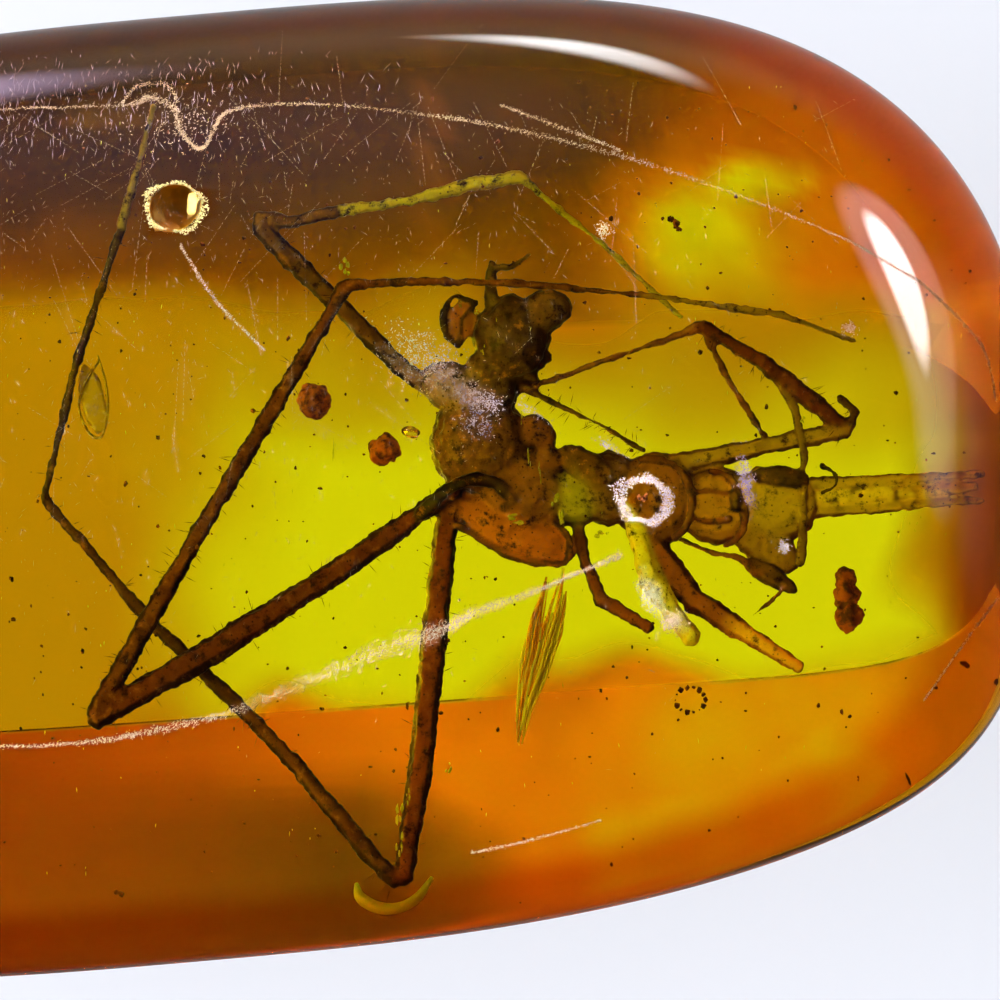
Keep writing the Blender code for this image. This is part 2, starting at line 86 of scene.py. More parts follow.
# The insect's limbs: colour at the edges, which is painted shade where the skin turns down at the sides, colour along
# the middle, how clear, bristles a millimetre, and the points x, y, z and radius in millimetres.
LIMBS = {
    "left_thigh": (
        "#140A08", "#5E2A12", 0.3, 5,
        ((6.3, -0.35, 6.9, 0.27), (3.25, -2.45, 7.3, 0.30), (0.4, -4.25, 7.8, 0.34), (-2.6, -5.95, 8.1, 0.29)),
    ),
    "left_shin": (
        "#180C08", "#5A2C0E", 0.3, 8,
        ((-2.6, -5.95, 8.1, 0.24), (-0.8, -2.95, 8.2, 0.24), (1.4, 0.7, 8.3, 0.23), (3.65, 4.45, 8.3, 0.19)),
    ),
    "left_foot": (
        "#3A1C06", "#5A2E08", 0.2, 0,
        ((3.65, 4.45, 8.3, 0.16), (5.45, 4.55, 8.4, 0.11), (7.45, 4.55, 8.5, 0.11), (10.85, 4.3, 8.5, 0.10)),
    ),
    "left_claw": (
        "#6A3A06", "#9A7A10", 0.4, 0,
        ((10.85, 4.3, 8.5, 0.10), (14.25, 3.9, 8.2, 0.09), (16.05, 3.3, 7.9, 0.06)),
    ),
    "low_thigh": (
        "#140A08", "#7A3610", 0.35, 5,
        ((6.05, -1.2, 6.7, 0.29), (5.8, -3.4, 6.9, 0.33), (5.45, -6.65, 7.1, 0.33), (5.0, -9.4, 7.3, 0.25)),
    ),
    "low_shin": (
        "#180C0A", "#4A2210", 0.2, 6,
        ((4.85, -9.45, 7.3, 0.21), (4.2, -8.8, 7.2, 0.23), (2.5, -6.85, 7.0, 0.21), (1.0, -5.4, 6.9, 0.19)),
    ),
    "low_shin_end": (
        "#1C1008", "#402408", 0.2, 4,
        ((1.0, -5.4, 6.9, 0.19), (-1.2, -3.5, 6.9, 0.16), (-3.8, -0.65, 7.1, 0.12)),
    ),
    "low_foot": (
        "#160E0A", "#33200E", 0.15, 4,
        ((-3.8, -0.65, 7.1, 0.11), (-3.05, 2.55, 7.2, 0.12), (-1.95, 5.75, 7.4, 0.12)),
    ),
    "low_claw": ("#7A5A18", "#A8902A", 0.4, 0, ((-1.9, 5.9, 7.4, 0.12), (-1.1, 8.75, 7.6, 0.09))),
    "upper_thigh": (
        "#1E140A", "#6A4410", 0.45, 3,
        ((5.9, 2.0, 6.8, 0.24), (5.05, 2.6, 6.75, 0.23), (3.25, 4.25, 7.1, 0.27), (1.5, 5.9, 7.5, 0.24)),
    ),
    "upper_knee": ("#33200C", "#5A3A10", 0.2, 0, ((1.45, 6.1, 7.5, 0.20), (2.25, 6.0, 7.5, 0.18), (3.4, 6.2, 7.5, 0.15))),
    "upper_shin": (
        "#A89C08", "#F0E828", 0.35, 0,
        ((3.65, 6.3, 7.5, 0.15), (5.25, 6.55, 7.4, 0.14), (6.7, 6.95, 7.3, 0.17), (7.95, 7.15, 7.2, 0.16)),
    ),
    "upper_foot": (
        "#8A8208", "#C8B818", 0.4, 0,
        ((7.95, 7.15, 7.2, 0.13), (8.6, 6.6, 7.2, 0.10), (9.85, 5.65, 7.1, 0.08), (11.75, 3.95, 6.9, 0.06)),
    ),
    "right_thigh": (
        "#5A3006", "#C09A14", 0.75, 0,
        ((9.8, -0.05, 6.5, 0.27), (12.7, 0.55, 6.7, 0.26), (15.75, 1.2, 7.0, 0.22)),
    ),
    "right_knee": ("#2A1808", "#5A3408", 0.2, 0, ((15.7, 1.1, 7.0, 0.20), (15.95, 1.65, 7.0, 0.15), (15.55, 2.0, 7.05, 0.11))),
    "right_shin": (
        "#240E06", "#4A1E08", 0.15, 14,
        ((15.75, 1.2, 7.0, 0.22), (15.0, 1.8, 7.1, 0.26), (13.7, 2.85, 7.2, 0.21), (12.25, 3.7, 7.4, 0.17)),
    ),
    "right_foot": (
        "#5A3206", "#7A4A08", 0.3, 0,
        ((12.25, 3.7, 7.4, 0.13), (11.55, 3.4, 7.3, 0.09), (9.8, 2.8, 7.1, 0.09), (7.6, 2.0, 6.8, 0.09)),
    ),
    "right_spur": ("#4A2806", "#6A3A08", 0.25, 0, ((12.3, 3.6, 7.35, 0.11), (12.95, 2.3, 7.2, 0.10), (13.75, 1.0, 7.0, 0.09))),
    "thin_foot": (
        "#5A3C08", "#8A6C14", 0.4, 0,
        ((14.0, 2.6, 7.2, 0.11), (14.5, 1.65, 7.15, 0.11), (14.7, 0.6, 7.1, 0.10), (14.7, -0.55, 7.0, 0.10), (14.6, -2.1, 6.9, 0.13)),
    ),
    "rear_thigh": (
        "#3A1606", "#A05408", 0.6, 2,
        ((10.75, -1.35, 6.6, 0.42), (12.0, -2.9, 6.8, 0.32), (12.9, -3.44, 6.87, 0.26)),
    ),
    "rear_shin": (
        "#8A4A08", "#FFB818", 0.85, 0,
        ((12.9, -3.44, 6.87, 0.26), (14.65, -4.5, 7.0, 0.15)),
    ),
    "rear_claw": (
        "#240E06", "#7A3A0C", 0.45, 0,
        ((9.15, -0.8, 6.6, 0.16), (9.4, -2.0, 6.65, 0.16), (9.8, -2.9, 6.7, 0.19), (11.0, -3.6, 6.95, 0.13)),
    ),
    "pale_rod": ("#E4D890", "#FFFDE8", 0.1, 0, ((10.45, -0.7, 6.9, 0.22), (11.0, -2.5, 7.1, 0.30), (12.05, -3.9, 7.3, 0.24))),
    "feeler": (
        "#4A2A06", "#5A3808", 0.2, 16,
        ((7.5, 2.35, 6.9, 0.14), (8.35, 1.95, 6.9, 0.10), (9.8, 1.25, 7.0, 0.07), (10.85, 0.6, 6.95, 0.08)),
    ),
    "horn": ("#241614", "#33241A", 0.1, 0, ((7.3, 3.85, 7.1, 0.27), (7.15, 4.55, 7.2, 0.17), (7.2, 5.15, 7.25, 0.10))),
    "horn_hook": ("#5A4A10", "#6A4A10", 0.3, 0, ((7.2, 5.0, 7.25, 0.08), (7.7, 5.05, 7.25, 0.07), (8.15, 5.35, 7.25, 0.05))),
    "tail_upper": ("#6A440A", "#D8B018", 0.8, 0, ((14.2, -0.2, 6.5, 0.22), (16.5, 0.0, 6.5, 0.17), (18.9, 0.25, 6.5, 0.11))),
    "tail_lower": ("#5A300A", "#D0A818", 0.75, 0, ((14.2, -0.8, 6.4, 0.20), (16.5, -0.65, 6.4, 0.14), (18.9, -0.4, 6.45, 0.10))),
    "tail_band": (
        "#8A5A08", "#F0C820", 0.93, 0,
        ((14.6, -0.5, 6.45, 0.23), (16.6, -0.33, 6.45, 0.20), (18.8, -0.08, 6.45, 0.12)),
    ),
    "root_arch": (
        "#0C080C", "#140E14", 0.0, 0,
        (
            (5.4, -1.05, 7.2, 0.20), (5.9, -0.6, 7.5, 0.19), (6.3, -0.32, 7.62, 0.17), (6.75, -0.2, 7.64, 0.16),
            (7.3, -0.3, 7.55, 0.15), (7.71, -0.67, 7.35, 0.15), (7.45, -0.85, 7.3, 0.12),
        ),
    ),
    "face_loop": (
        "#1A100A", "#33200E", 0.1, 0,
        ((6.85, 4.15, 7.1, 0.08), (6.3, 4.35, 7.1, 0.07), (6.0, 3.95, 7.1, 0.09), (6.05, 3.4, 7.1, 0.08), (6.4, 3.15, 7.1, 0.07)),
    ),
    "face_bar": ("#1A100A", "#33200E", 0.1, 0, ((6.4, 3.2, 7.1, 0.06), (6.45, 3.8, 7.1, 0.06), (6.75, 4.1, 7.1, 0.07))),
    "spike_upper": ("#2A1814", "#3A241C", 0.0, 0, ((7.95, 3.35, 7.1, 0.24), (8.3, 3.1, 7.1, 0.16), (8.62, 2.92, 7.1, 0.06))),
    "spike_middle": ("#2A1814", "#3A241C", 0.0, 0, ((7.85, 3.0, 7.1, 0.22), (8.15, 2.85, 7.1, 0.14), (8.42, 2.66, 7.1, 0.06))),
    "spike_lower": ("#2A1814", "#3A241C", 0.0, 0, ((7.65, 2.7, 7.1, 0.22), (7.95, 2.5, 7.1, 0.15), (8.25, 2.3, 7.1, 0.06))),
    "pit_arc": (
        "#3A1A08", "#4A220A", 0.1, 0,
        ((10.7, 0.4, 7.1, 0.09), (11.4, 0.35, 7.2, 0.09), (11.85, -0.05, 7.2, 0.10), (11.99, -0.6, 7.2, 0.10), (11.9, -1.2, 7.2, 0.09), (11.55, -1.55, 7.1, 0.08)),
    ),
    "segment_arc": (
        "#33160A", "#4A1E0A", 0.1, 0,
        ((12.4, 0.12, 7.1, 0.07), (12.85, 0.02, 7.12, 0.08), (13.1, -0.34, 7.15, 0.10), (13.3, -1.05, 7.12, 0.10), (13.1, -1.5, 7.1, 0.08), (12.75, -1.7, 7.05, 0.06)),
    ),
    "plate_top": ("#4A200A", "#6A3008", 0.2, 0, ((11.95, -0.42, 7.18, 0.05), (12.45, -0.4, 7.18, 0.05), (12.95, -0.46, 7.18, 0.07))),
    "plate_low": ("#4A200A", "#6A3008", 0.2, 0, ((11.95, -1.06, 7.15, 0.05), (12.45, -1.1, 7.15, 0.05), (12.95, -1.04, 7.15, 0.06))),
    "segment_blot": ("#180C0E", "#201214", 0.0, 0, ((13.0, -0.42, 7.2, 0.12), (13.07, -0.62, 7.2, 0.17), (13.08, -0.85, 7.2, 0.11))),
    "lower_edge": (
        "#4A240A", "#6A3A0A", 0.2, 0,
        (
            (11.7, -1.5, 6.95, 0.05), (12.47, -1.83, 6.95, 0.05), (13.18, -1.96, 6.95, 0.09), (13.5, -2.3, 6.95, 0.12),
            (13.96, -2.3, 6.95, 0.07), (14.24, -2.64, 6.95, 0.06), (13.46, -3.29, 6.95, 0.04),
        ),
    ),
    "tail_ring": ("#3A2808", "#5A480A", 0.3, 0, ((15.1, 0.3, 6.9, 0.06), (15.42, 0.12, 6.9, 0.07), (15.45, -0.2, 6.9, 0.07), (15.1, -0.38, 6.9, 0.06))),
    "lobe_edge": (
        "#241008", "#33180A", 0.0, 0,
        ((6.3, -1.2, 6.95, 0.08), (7.2, -1.68, 6.95, 0.09), (8.3, -2.08, 6.95, 0.09), (8.95, -2.1, 6.95, 0.08), (9.05, -1.55, 7.0, 0.08), (8.6, -0.98, 7.1, 0.08)),
    ),
}
# Limbs and lumps that are too fine for the solids, and so are added to the insect's form here.
ADDED_LIMBS = (
    "root_arch", "face_loop", "face_bar", "spike_upper", "spike_middle", "spike_lower", "pit_arc", "segment_arc",
    "tail_band", "plate_top", "plate_low", "segment_blot", "lower_edge", "tail_ring", "lobe_edge",
)

# The insect's body: colours and clearness as above, then the middle, the half sizes and the turn about Z.
LUMPS = {
    "head": ("#22151A", "#36221C", 0.0, (7.65, 3.35, 7.0), (0.95, 1.10, 0.75), 0),
    "head_lobe": ("#33220E", "#6A4812", 0.35, (8.45, 4.0, 7.1), (0.70, 0.52, 0.50), 15),
    "jaw_upper": ("#2A1814", "#40281C", 0.0, (8.2, 3.0, 7.0), (0.42, 0.22, 0.25), -20),
    "jaw_lower": ("#2A1814", "#40281C", 0.0, (7.95, 2.5, 7.0), (0.36, 0.24, 0.25), -35),
    "collar": ("#4A3028", "#8A6A58", 0.1, (6.4, 2.05, 6.9), (1.05, 0.66, 0.60), -30),
    "neck": ("#241618", "#3E2A20", 0.0, (7.1, 2.2, 6.9), (0.75, 0.95, 0.60), 0),
    "thorax": ("#241612", "#4E301A", 0.0, (6.85, 0.8, 6.8), (1.25, 1.35, 0.85), 0),
    "thorax_rear": ("#3A2008", "#8A5410", 0.4, (7.9, -0.4, 6.7), (1.20, 1.05, 0.80), -20),
    "belly_lobe": ("#3A1A08", "#D0720A", 0.55, (7.7, -1.25, 6.6), (1.60, 0.72, 0.65), -24),
    "waist": ("#3A2A08", "#D8CC10", 0.6, (9.1, -0.5, 6.6), (0.85, 0.70, 0.60), 0),
    "abdomen_1": ("#3A1E0A", "#7A5010", 0.35, (9.95, -0.25, 6.5), (0.90, 0.92, 0.75), 0),
    "abdomen_2": ("#4A220A", "#A8680C", 0.6, (11.1, -0.5, 6.5), (1.05, 1.15, 0.80), 0),
    "abdomen_3": ("#5A2C0A", "#C88A10", 0.8, (12.6, -0.65, 6.5), (1.00, 0.95, 0.70), 0),
    "abdomen_4": ("#5A2C0C", "#C8A020", 0.85, (13.95, -0.55, 6.5), (1.10, 0.95, 0.65), -8),
    "abdomen_tip": ("#5A340A", "#A87A10", 0.7, (13.75, -1.6, 6.5), (0.95, 0.50, 0.45), -35),
    "dark_mass": ("#24140C", "#3A2212", 0.0, (9.55, 0.1, 7.0), (0.95, 0.42, 0.35), -36),
    "dark_flap": ("#22120A", "#33200E", 0.0, (14.15, 0.0, 7.1), (0.72, 0.27, 0.28), -4),
    "face_plate": ("#4A2408", "#B8740C", 0.7, (6.42, 3.75, 7.05), (0.36, 0.52, 0.08), -12),
    "debris": ("#2A1A08", "#5A3A0A", 0.2, (13.9, -2.35, 6.8), (0.75, 0.24, 0.25), -30),
    "shoulder": ("#2A1408", "#7A4208", 0.4, (8.25, 1.05, 6.9), (0.55, 0.42, 0.40), -40),
    "shoulder_low": ("#2A1408", "#8A5008", 0.5, (8.55, 0.35, 6.95), (0.42, 0.34, 0.35), -50),
}
ADDED_LUMPS = ("face_plate", "dark_mass", "dark_flap", "debris", "shoulder", "shoulder_low")

# The golden sliver of plant, which forks upwards: the two prongs' x, y, z and half width.
SLIVER_PRONGS = (
    ((8.92, -2.2, 7.0, 0.10), (8.85, -2.9, 7.05, 0.16), (8.65, -3.7, 7.1, 0.26), (8.35, -4.6, 7.15, 0.26), (8.0, -5.6, 7.2, 0.16), (7.85, -6.3, 7.2, 0.06)),
    ((8.5, -2.4, 6.95, 0.06), (8.35, -3.1, 7.0, 0.16), (8.15, -4.0, 7.1, 0.24), (7.95, -4.9, 7.15, 0.20), (7.85, -5.7, 7.2, 0.12), (7.8, -6.3, 7.2, 0.05)),
)
SLIVER_FIBRES = 34
SLIVER_TINTS = ("#FFC040", "#E89820", "#FFEC90", "#F8B838", "#D8841C", "#FFF8D8")
# A curled scale under the lowest knee, and the edge of a thin husk: x, y, z and half width.
CURLED_SCALE = (
    (3.85, -9.4, 7.1, 0.05), (3.95, -9.75, 7.15, 0.14), (4.4, -10.0, 7.15, 0.15),
    (4.9, -10.0, 7.15, 0.13), (5.35, -9.75, 7.15, 0.12), (5.7, -9.25, 7.1, 0.05),
)
HUSK_EDGE = (
    (-2.45, 2.75, 7.05, 0.03), (-2.8, 2.2, 7.05, 0.035), (-2.95, 1.6, 7.05, 0.03), (-2.7, 1.0, 7.05, 0.035),
    (-2.4, 0.9, 7.05, 0.03), (-2.25, 1.5, 7.05, 0.035), (-2.3, 2.2, 7.05, 0.03), (-2.5, 2.85, 7.05, 0.02),
)

# Seams and scratches on the polished dome: x, y and half width in millimetres.
SEAMS = {
    "lower": (
        (-12.0, -6.2, 0.03), (-8.0, -7.0, 0.05), (-4.8, -7.3, 0.04), (-2.6, -7.2, 0.05), (-0.85, -6.9, 0.08),
        (1.1, -6.4, 0.10), (3.3, -5.5, 0.17), (5.0, -4.85, 0.22), (6.0, -4.5, 0.17), (7.0, -4.0, 0.10),
        (8.5, -3.45, 0.07), (9.5, -3.0, 0.05), (10.45, -2.6, 0.08),
    ),
    "upper": (
        (-9.0, 8.3, 0.03), (-4.9, 8.85, 0.04), (-3.4, 8.9, 0.04), (-1.7, 8.97, 0.07), (-1.2, 9.16, 0.10),
        (-0.6, 8.84, 0.10), (-0.45, 8.25, 0.08), (-0.05, 7.75, 0.05), (0.2, 7.8, 0.05), (0.45, 8.35, 0.06),
        (0.7, 8.7, 0.05), (1.55, 8.9, 0.05), (3.3, 8.9, 0.04), (5.75, 8.6, 0.05), (7.0, 8.4, 0.06),
        (9.0, 7.95, 0.08), (11.2, 7.35, 0.06), (14.0, 6.4, 0.04), (16.12, 5.58, 0.03), (16.87, 5.2, 0.03),
        (17.9, 4.66, 0.035), (18.47, 4.2, 0.05), (19.0, 3.72, 0.05), (19.58, 3.05, 0.04), (19.86, 1.84, 0.03),
    ),
    "upper_branch": ((7.5, 8.9, 0.04), (9.0, 8.3, 0.06), (10.5, 7.7, 0.04)),
    "scratch": ((-0.4, 5.15, 0.04), (0.5, 3.7, 0.05), (1.7, 2.45, 0.02)),
    "loop": ((-1.9, 9.0, 0.04), (-1.5, 9.5, 0.06), (-0.8, 9.5, 0.06), (-0.5, 9.0, 0.05)),
    "faint": ((6.8, -9.7, 0.03), (8.2, -9.4, 0.03), (10.0, -8.9, 0.02)),
    "right_low": ((19.9, -3.1, 0.04), (18.9, -4.5, 0.03), (18.0, -5.8, 0.02)),
}

# The two open pits on the dome: x, y, z of the middle, radius and depth.
OPEN_PIT = (-0.55, 6.15, 11.95, 0.62, 0.55)
RING_PIT = (11.05, -1.2, 12.25, 0.42, 0.5)
# What is hollow in the stone, the pits and a bubble: middle, half sizes and turn about Z.
HOLLOWS = (
    (-0.55, 6.15, 11.95, 0.70, 0.60, 0.40, 60),
    (11.05, -1.2, 12.4, 0.46, 0.40, 0.50, 40),
    (5.19, 1.02, 7.1, 0.23, 0.16, 0.15, -12),
)
HOLLOW_SEED = 5
HOLLOW_ROUGHNESS = 0.05


class AMBER_PG_stone(bpy.types.PropertyGroup):
    half_length: FloatProperty(
        name="Half length", description="Half the nugget's length", default=CAD_HIGH.x, unit="LENGTH", subtype="DISTANCE"
    )
    height: FloatProperty(
        name="Height", description="From the flat face to the crown", default=CAD_HIGH.z, unit="LENGTH", subtype="DISTANCE"
    )
    ring_points: IntProperty(name="Ring points", description="Points in one ring round the nugget", default=360, min=72)
    belly_rings: IntProperty(name="Belly rings", description="Rings from the flat face to the girdle", default=48, min=8)
    dome_rings: IntProperty(name="Dome rings", description="Rings from the girdle to the crown", default=72, min=8)


class AMBER_PG_insect(bpy.types.PropertyGroup):
    voxel: FloatProperty(name="Fineness", description="Size of the insect's finest forms", default=0.055 * MM, unit="LENGTH")
    wrinkle: FloatProperty(name="Wrinkles", description="Depth of the creases", default=0.036 * MM, unit="LENGTH")
    seed: IntProperty(name="Seed", description="Start of the random draws", default=7)


class AMBER_PG_marks(bpy.types.PropertyGroup):
    seam_flakes: IntProperty(name="Seam flakes", description="Flakes in each millimetre of seam", default=150, min=1)
    scratches: IntProperty(name="Scratches", description="Fine scratches on the dome", default=2400, min=0)
    specks: IntProperty(name="Specks", description="Dark specks in the amber", default=850, min=0)
    # The glints are painted: bright flakes standing in for sparkles of light.
    glints: IntProperty(name="Glints", description="Bright specks under the surface", default=300, min=0)
    seed: IntProperty(name="Seed", description="Start of the random draws", default=11)


class AMBER_PG_light(bpy.types.PropertyGroup):
    table_glow: FloatProperty(name="Table glow", description="Light given by the pale table", default=0.86, min=0.0)
    horizon: FloatProperty(name="Horizon", description="Brightness of the studio wall", default=0.5, min=0.0)
    zenith: FloatProperty(name="Ceiling", description="Brightness of the dim ceiling", default=0.02, min=0.0)


def linear(code):
    """An sRGB hex colour as linear RGBA."""
    parts = [int(code[i : i + 2], 16) / 255 for i in (1, 3, 5)]
    return (*(c / 12.92 if c <= 0.04045 else ((c + 0.055) / 1.055) ** 2.4 for c in parts), 1.0)


def add(tree, kind, values=None, links=None, **settings):
    """Adds a node, sets its settings and its inputs' values, and links sockets into its inputs."""
    made = tree.nodes.new(kind)
    for name, value in settings.items():
        setattr(made, name, value)
    for socket, value in (values or {}).items():
        made.inputs[socket].default_value = value
    for socket, source in (links or {}).items():
        tree.links.new(source, made.inputs[socket])
    return made


def new_material(name):
    """A material with a Principled shader and its position in millimetres, for patterns of real size."""
    material = bpy.data.materials.new(name)
    material.use_nodes = True
    tree = material.node_tree
    shader = tree.nodes["Principled BSDF"]
    place = add(tree, "ShaderNodeTexCoord")
    scale = add(tree, "ShaderNodeVectorMath", {"Scale": 1 / MM}, {0: place.outputs["Object"]}, operation="SCALE")
    return material, tree, shader, scale.outputs["Vector"]


def smooth_step(tree, source, low, high):
    """0 below low and 1 above high, or the other way round where low is the larger."""
    made = add(
        tree,
        "ShaderNodeMapRange",
        {"From Min": min(low, high), "From Max": max(low, high), "To Min": 0.0 if low < high else 1.0, "To Max": 1.0 if low < high else 0.0},
        {"Value": source},
        interpolation_type="SMOOTHSTEP",
    )
    return made.outputs["Result"]


def math_node(tree, operation, first, second):
    made = add(tree, "ShaderNodeMath", operation=operation)
    for i, value in enumerate((first, second)):
        if isinstance(value, (int, float)):
            made.inputs[i].default_value = value
        else:
            tree.links.new(value, made.inputs[i])
    return made.outputs["Value"]


def mix_colour(tree, share, first, second, blend="MIX"):
    """Mixes two colours, each a hex code or a socket."""
    made = add(tree, "ShaderNodeMix", data_type="RGBA", blend_type=blend)
    for socket, value in (("Factor_Float", share), ("A_Color", first), ("B_Color", second)):
        target = next(s for s in made.inputs if s.identifier == socket)
        if isinstance(value, str):
            target.default_value = linear(value)
        elif isinstance(value, (int, float)):
            target.default_value = value
        else:
            tree.links.new(value, target)
    return next(s for s in made.outputs if s.identifier == "Result_Color")


RIND_CLOUD = 0.3
RIND_TOP = 10.0
RIND_ROUGH = 0.8
PIT_ROUGH = 0.3
RIND_COLOURS = ("#B86204", "#D87C04")
# How many blotches of the rind there are to a millimetre, how far they bend its patches, and how they darken it.
RIND_BLOTCH = 0.3
RIND_WANDER = 0.8
RIND_MOTTLE = 0.18
# The rind's colours as seen against a pale table, with painted glow among them: the bright yellow spots stand in for
# light shining through the rind. Middle and half sizes in millimetres, colour, strength.
RIND_PATCHES_AND_PAINTED_GLOW = [
    ((10.0, -5.5, 1.5), (7.5, 4.0, 4.0), "#FFB200", 1.0),
    ((14.0, -4.2, 1.3), (4.0, 2.2, 3.0), "#FFD400", 0.9),
    ((11.6, -6.3, 2.4), (1.7, 0.7, 2.0), "#FFF400", 1.0),
    ((15.3, -5.2, 2.3), (1.4, 0.7, 2.0), "#FFF400", 0.9),
    ((13.6, -6.0, 2.6), (3.4, 1.2, 3.0), "#FFCC00", 0.8),
    ((16.8, -5.6, 3.0), (1.6, 0.9, 2.5), "#FFE400", 0.9),
    ((13.0, -7.6, 3.5), (3.5, 1.4, 3.0), "#FFB400", 0.8),
    ((1.6, -7.2, 2.1), (4.6, 1.7, 2.4), "#6A2C00", 1.0),
    ((-8.0, -6.0, 2.0), (9.0, 6.0, 4.0), "#B85600", 0.7),
    ((0.0, 7.6, 3.0), (13.0, 3.2, 4.5), "#5C3A1A", 1.0),
    ((8.5, 8.8, 2.8), (4.5, 1.8, 3.5), "#5C3A10", 1.0),
    ((6.5, 5.4, 1.0), (5.0, 1.5, 2.5), "#A87A00", 0.8),
    ((-2.5, 5.0, 1.0), (4.0, 1.0, 2.5), "#A87200", 0.6),
    ((15.5, 7.8, 3.2), (4.4, 2.2, 3.0), "#CE7000", 0.9),
    ((12.4, 6.1, 1.5), (2.6, 1.9, 2.4), "#FFB400", 0.9),
    ((12.4, 6.1, 1.5), (1.3, 1.0, 1.6), "#FFFF20", 1.0),
    ((13.3, 7.3, 2.3), (0.8, 0.5, 1.4), "#FFFF20", 1.0),
    ((19.0, 1.0, 1.5), (2.4, 6.0, 5.0), "#8A4A10", 0.9),
    ((18.6, 0.6, 1.5), (1.5, 2.6, 3.0), "#5A2A10", 0.8),
]

# Sharper spots on the rind that show through, in the same order: a streak, two orange spots and a dark one.
RIND_SPOTS = [
    ((5.75, 6.8, 2.3), (0.30, 3.4, 4.0), "#B07418", 0.45),
    ((6.0, 6.0, 1.8), (0.07, 2.2, 3.0), "#8A4A0A", 0.6),
    ((-1.85, 8.19, 2.6), (0.9, 0.4, 0.8), "#D8A800", 0.8),
    ((0.65, 8.0, 2.35), (0.5, 0.35, 0.8), "#D08010", 0.7),
    ((0.27, 7.62, 2.1), (1.2, 0.45, 0.9), "#301430", 0.8),
]


def amber_material():
    """Polished Baltic amber: clear golden succinite whose cut dome is bright, under which an oxidised
    orange-brown rind is left on the sloping belly; the rind holds painted glow in bright yellow spots, and along the
    girdle it is painted lighter as rim light. The flat face is ground clear, so light comes through it."""
    material, tree, shader, position = new_material("baltic_amber_polished")
    shader.inputs["IOR"].default_value = 1.54
    shader.inputs["Metallic"].default_value = 0.0
    warp = add(tree, "ShaderNodeTexNoise", {"Scale": 0.22, "Detail": 1.0, "Roughness": 0.55}, {"Vector": position})
    centred = add(
        tree, "ShaderNodeVectorMath", {1: (0.5, 0.5, 0.5)}, {0: warp.outputs["Color"]}, operation="SUBTRACT"
    )
    wander = add(tree, "ShaderNodeVectorMath", {"Scale": 4.0}, {0: centred.outputs["Vector"]}, operation="SCALE")
    warped = add(
        tree, "ShaderNodeVectorMath", links={0: position, 1: wander.outputs["Vector"]}, operation="ADD"
    ).outputs["Vector"]
    axes = add(tree, "ShaderNodeSeparateXYZ", links={"Vector": position})
    warped_axes = add(tree, "ShaderNodeSeparateXYZ", links={"Vector": warped})
    below_girdle = smooth_step(tree, axes.outputs["Z"], RIND_TOP, RIND_TOP - 1.2)
    lean = math_node(tree, "MULTIPLY", axes.outputs["X"], FLAT_BEND / 20.9)
    from_edge = math_node(tree, "SUBTRACT", warped_axes.outputs["Y"], lean)
    front_edge = smooth_step(tree, from_edge, FLAT_Y - FLAT_HALF_WIDTH + 0.8, FLAT_Y - FLAT_HALF_WIDTH - 0.5)
    front_slope = math_node(tree, "MAXIMUM", front_edge, smooth_step(tree, axes.outputs["Z"], 0.0, 0.06))
    back_slope = smooth_step(tree, warped_axes.outputs["Y"], 3.6, 5.6)
    far_side = smooth_step(tree, axes.outputs["Y"], -2.0, 2.0)
    slope = add(tree, "ShaderNodeMix", links={0: far_side, 2: front_slope, 3: back_slope}, data_type="FLOAT")
    right_end = smooth_step(tree, warped_axes.outputs["X"], 16.2, 17.6)
    far_end = smooth_step(tree, warped_axes.outputs["X"], -15.8, -17.4)
    rind = math_node(tree, "MAXIMUM", slope.outputs["Result"], math_node(tree, "MAXIMUM", right_end, far_end))
    rind = math_node(tree, "MULTIPLY", rind, below_girdle)
    # The rind colour in the mesh holds painted glow: bright yellow spots of light.
    colour = add(tree, "ShaderNodeAttribute", attribute_name="rind").outputs["Color"]
    left_end = smooth_step(tree, warped_axes.outputs["X"], 3.0, -2.5)
    back_edge = smooth_step(tree, warped_axes.outputs["Y"], 0.5, 4.4)
    flat = mix_colour(tree, math_node(tree, "MULTIPLY", back_edge, below_girdle), "#FFFFFF", "#D2A000")
    flat = mix_colour(tree, math_node(tree, "MULTIPLY", left_end, below_girdle), flat, "#DCA200")
    seen = mix_colour(tree, rind, flat, colour)
    # Painted rim light: the rind is painted lighter along the girdle.
    painted_rim_light = smooth_step(tree, axes.outputs["Z"], GIRDLE_HEIGHT - 0.4, GIRDLE_HEIGHT + 0.8)
    seen = mix_colour(tree, math_node(tree, "MULTIPLY", painted_rim_light, rind), seen, "#D69A2A")
    matt = add(tree, "ShaderNodeAttribute", attribute_name="matt").outputs["Fac"]
    seen = mix_colour(tree, matt, seen, "#FFCC50")
    # Glass takes the root of its colour where light crosses it, so the colour that is wanted is squared.
    tree.links.new(mix_colour(tree, 1.0, seen, seen, "MULTIPLY"), shader.inputs["Base Color"])
    tree.links.new(seen, shader.inputs["Specular Tint"])
    underside = smooth_step(tree, axes.outputs["Z"], GIRDLE_HEIGHT + 0.4, GIRDLE_HEIGHT - 0.6)
    cloud = math_node(tree, "MULTIPLY", rind, underside)
    roughness = math_node(tree, "MULTIPLY", cloud, RIND_ROUGH)
    roughness = math_node(tree, "MAXIMUM", roughness, math_node(tree, "MULTIPLY", matt, PIT_ROUGH))
    tree.links.new(roughness, shader.inputs["Roughness"])
    clear = math_node(tree, "MULTIPLY_ADD", cloud, -RIND_CLOUD)
    clear.node.inputs[2].default_value = 1.0
    tree.links.new(clear, shader.inputs["Transmission Weight"])
    absorption = add(tree, "ShaderNodeVolumeAbsorption", {"Color": (0.9817, 0.972, 0.0, 1.0), "Density": 620.0})
    tree.links.new(absorption.outputs["Volume"], tree.nodes["Material Output"].inputs["Volume"])
    return material


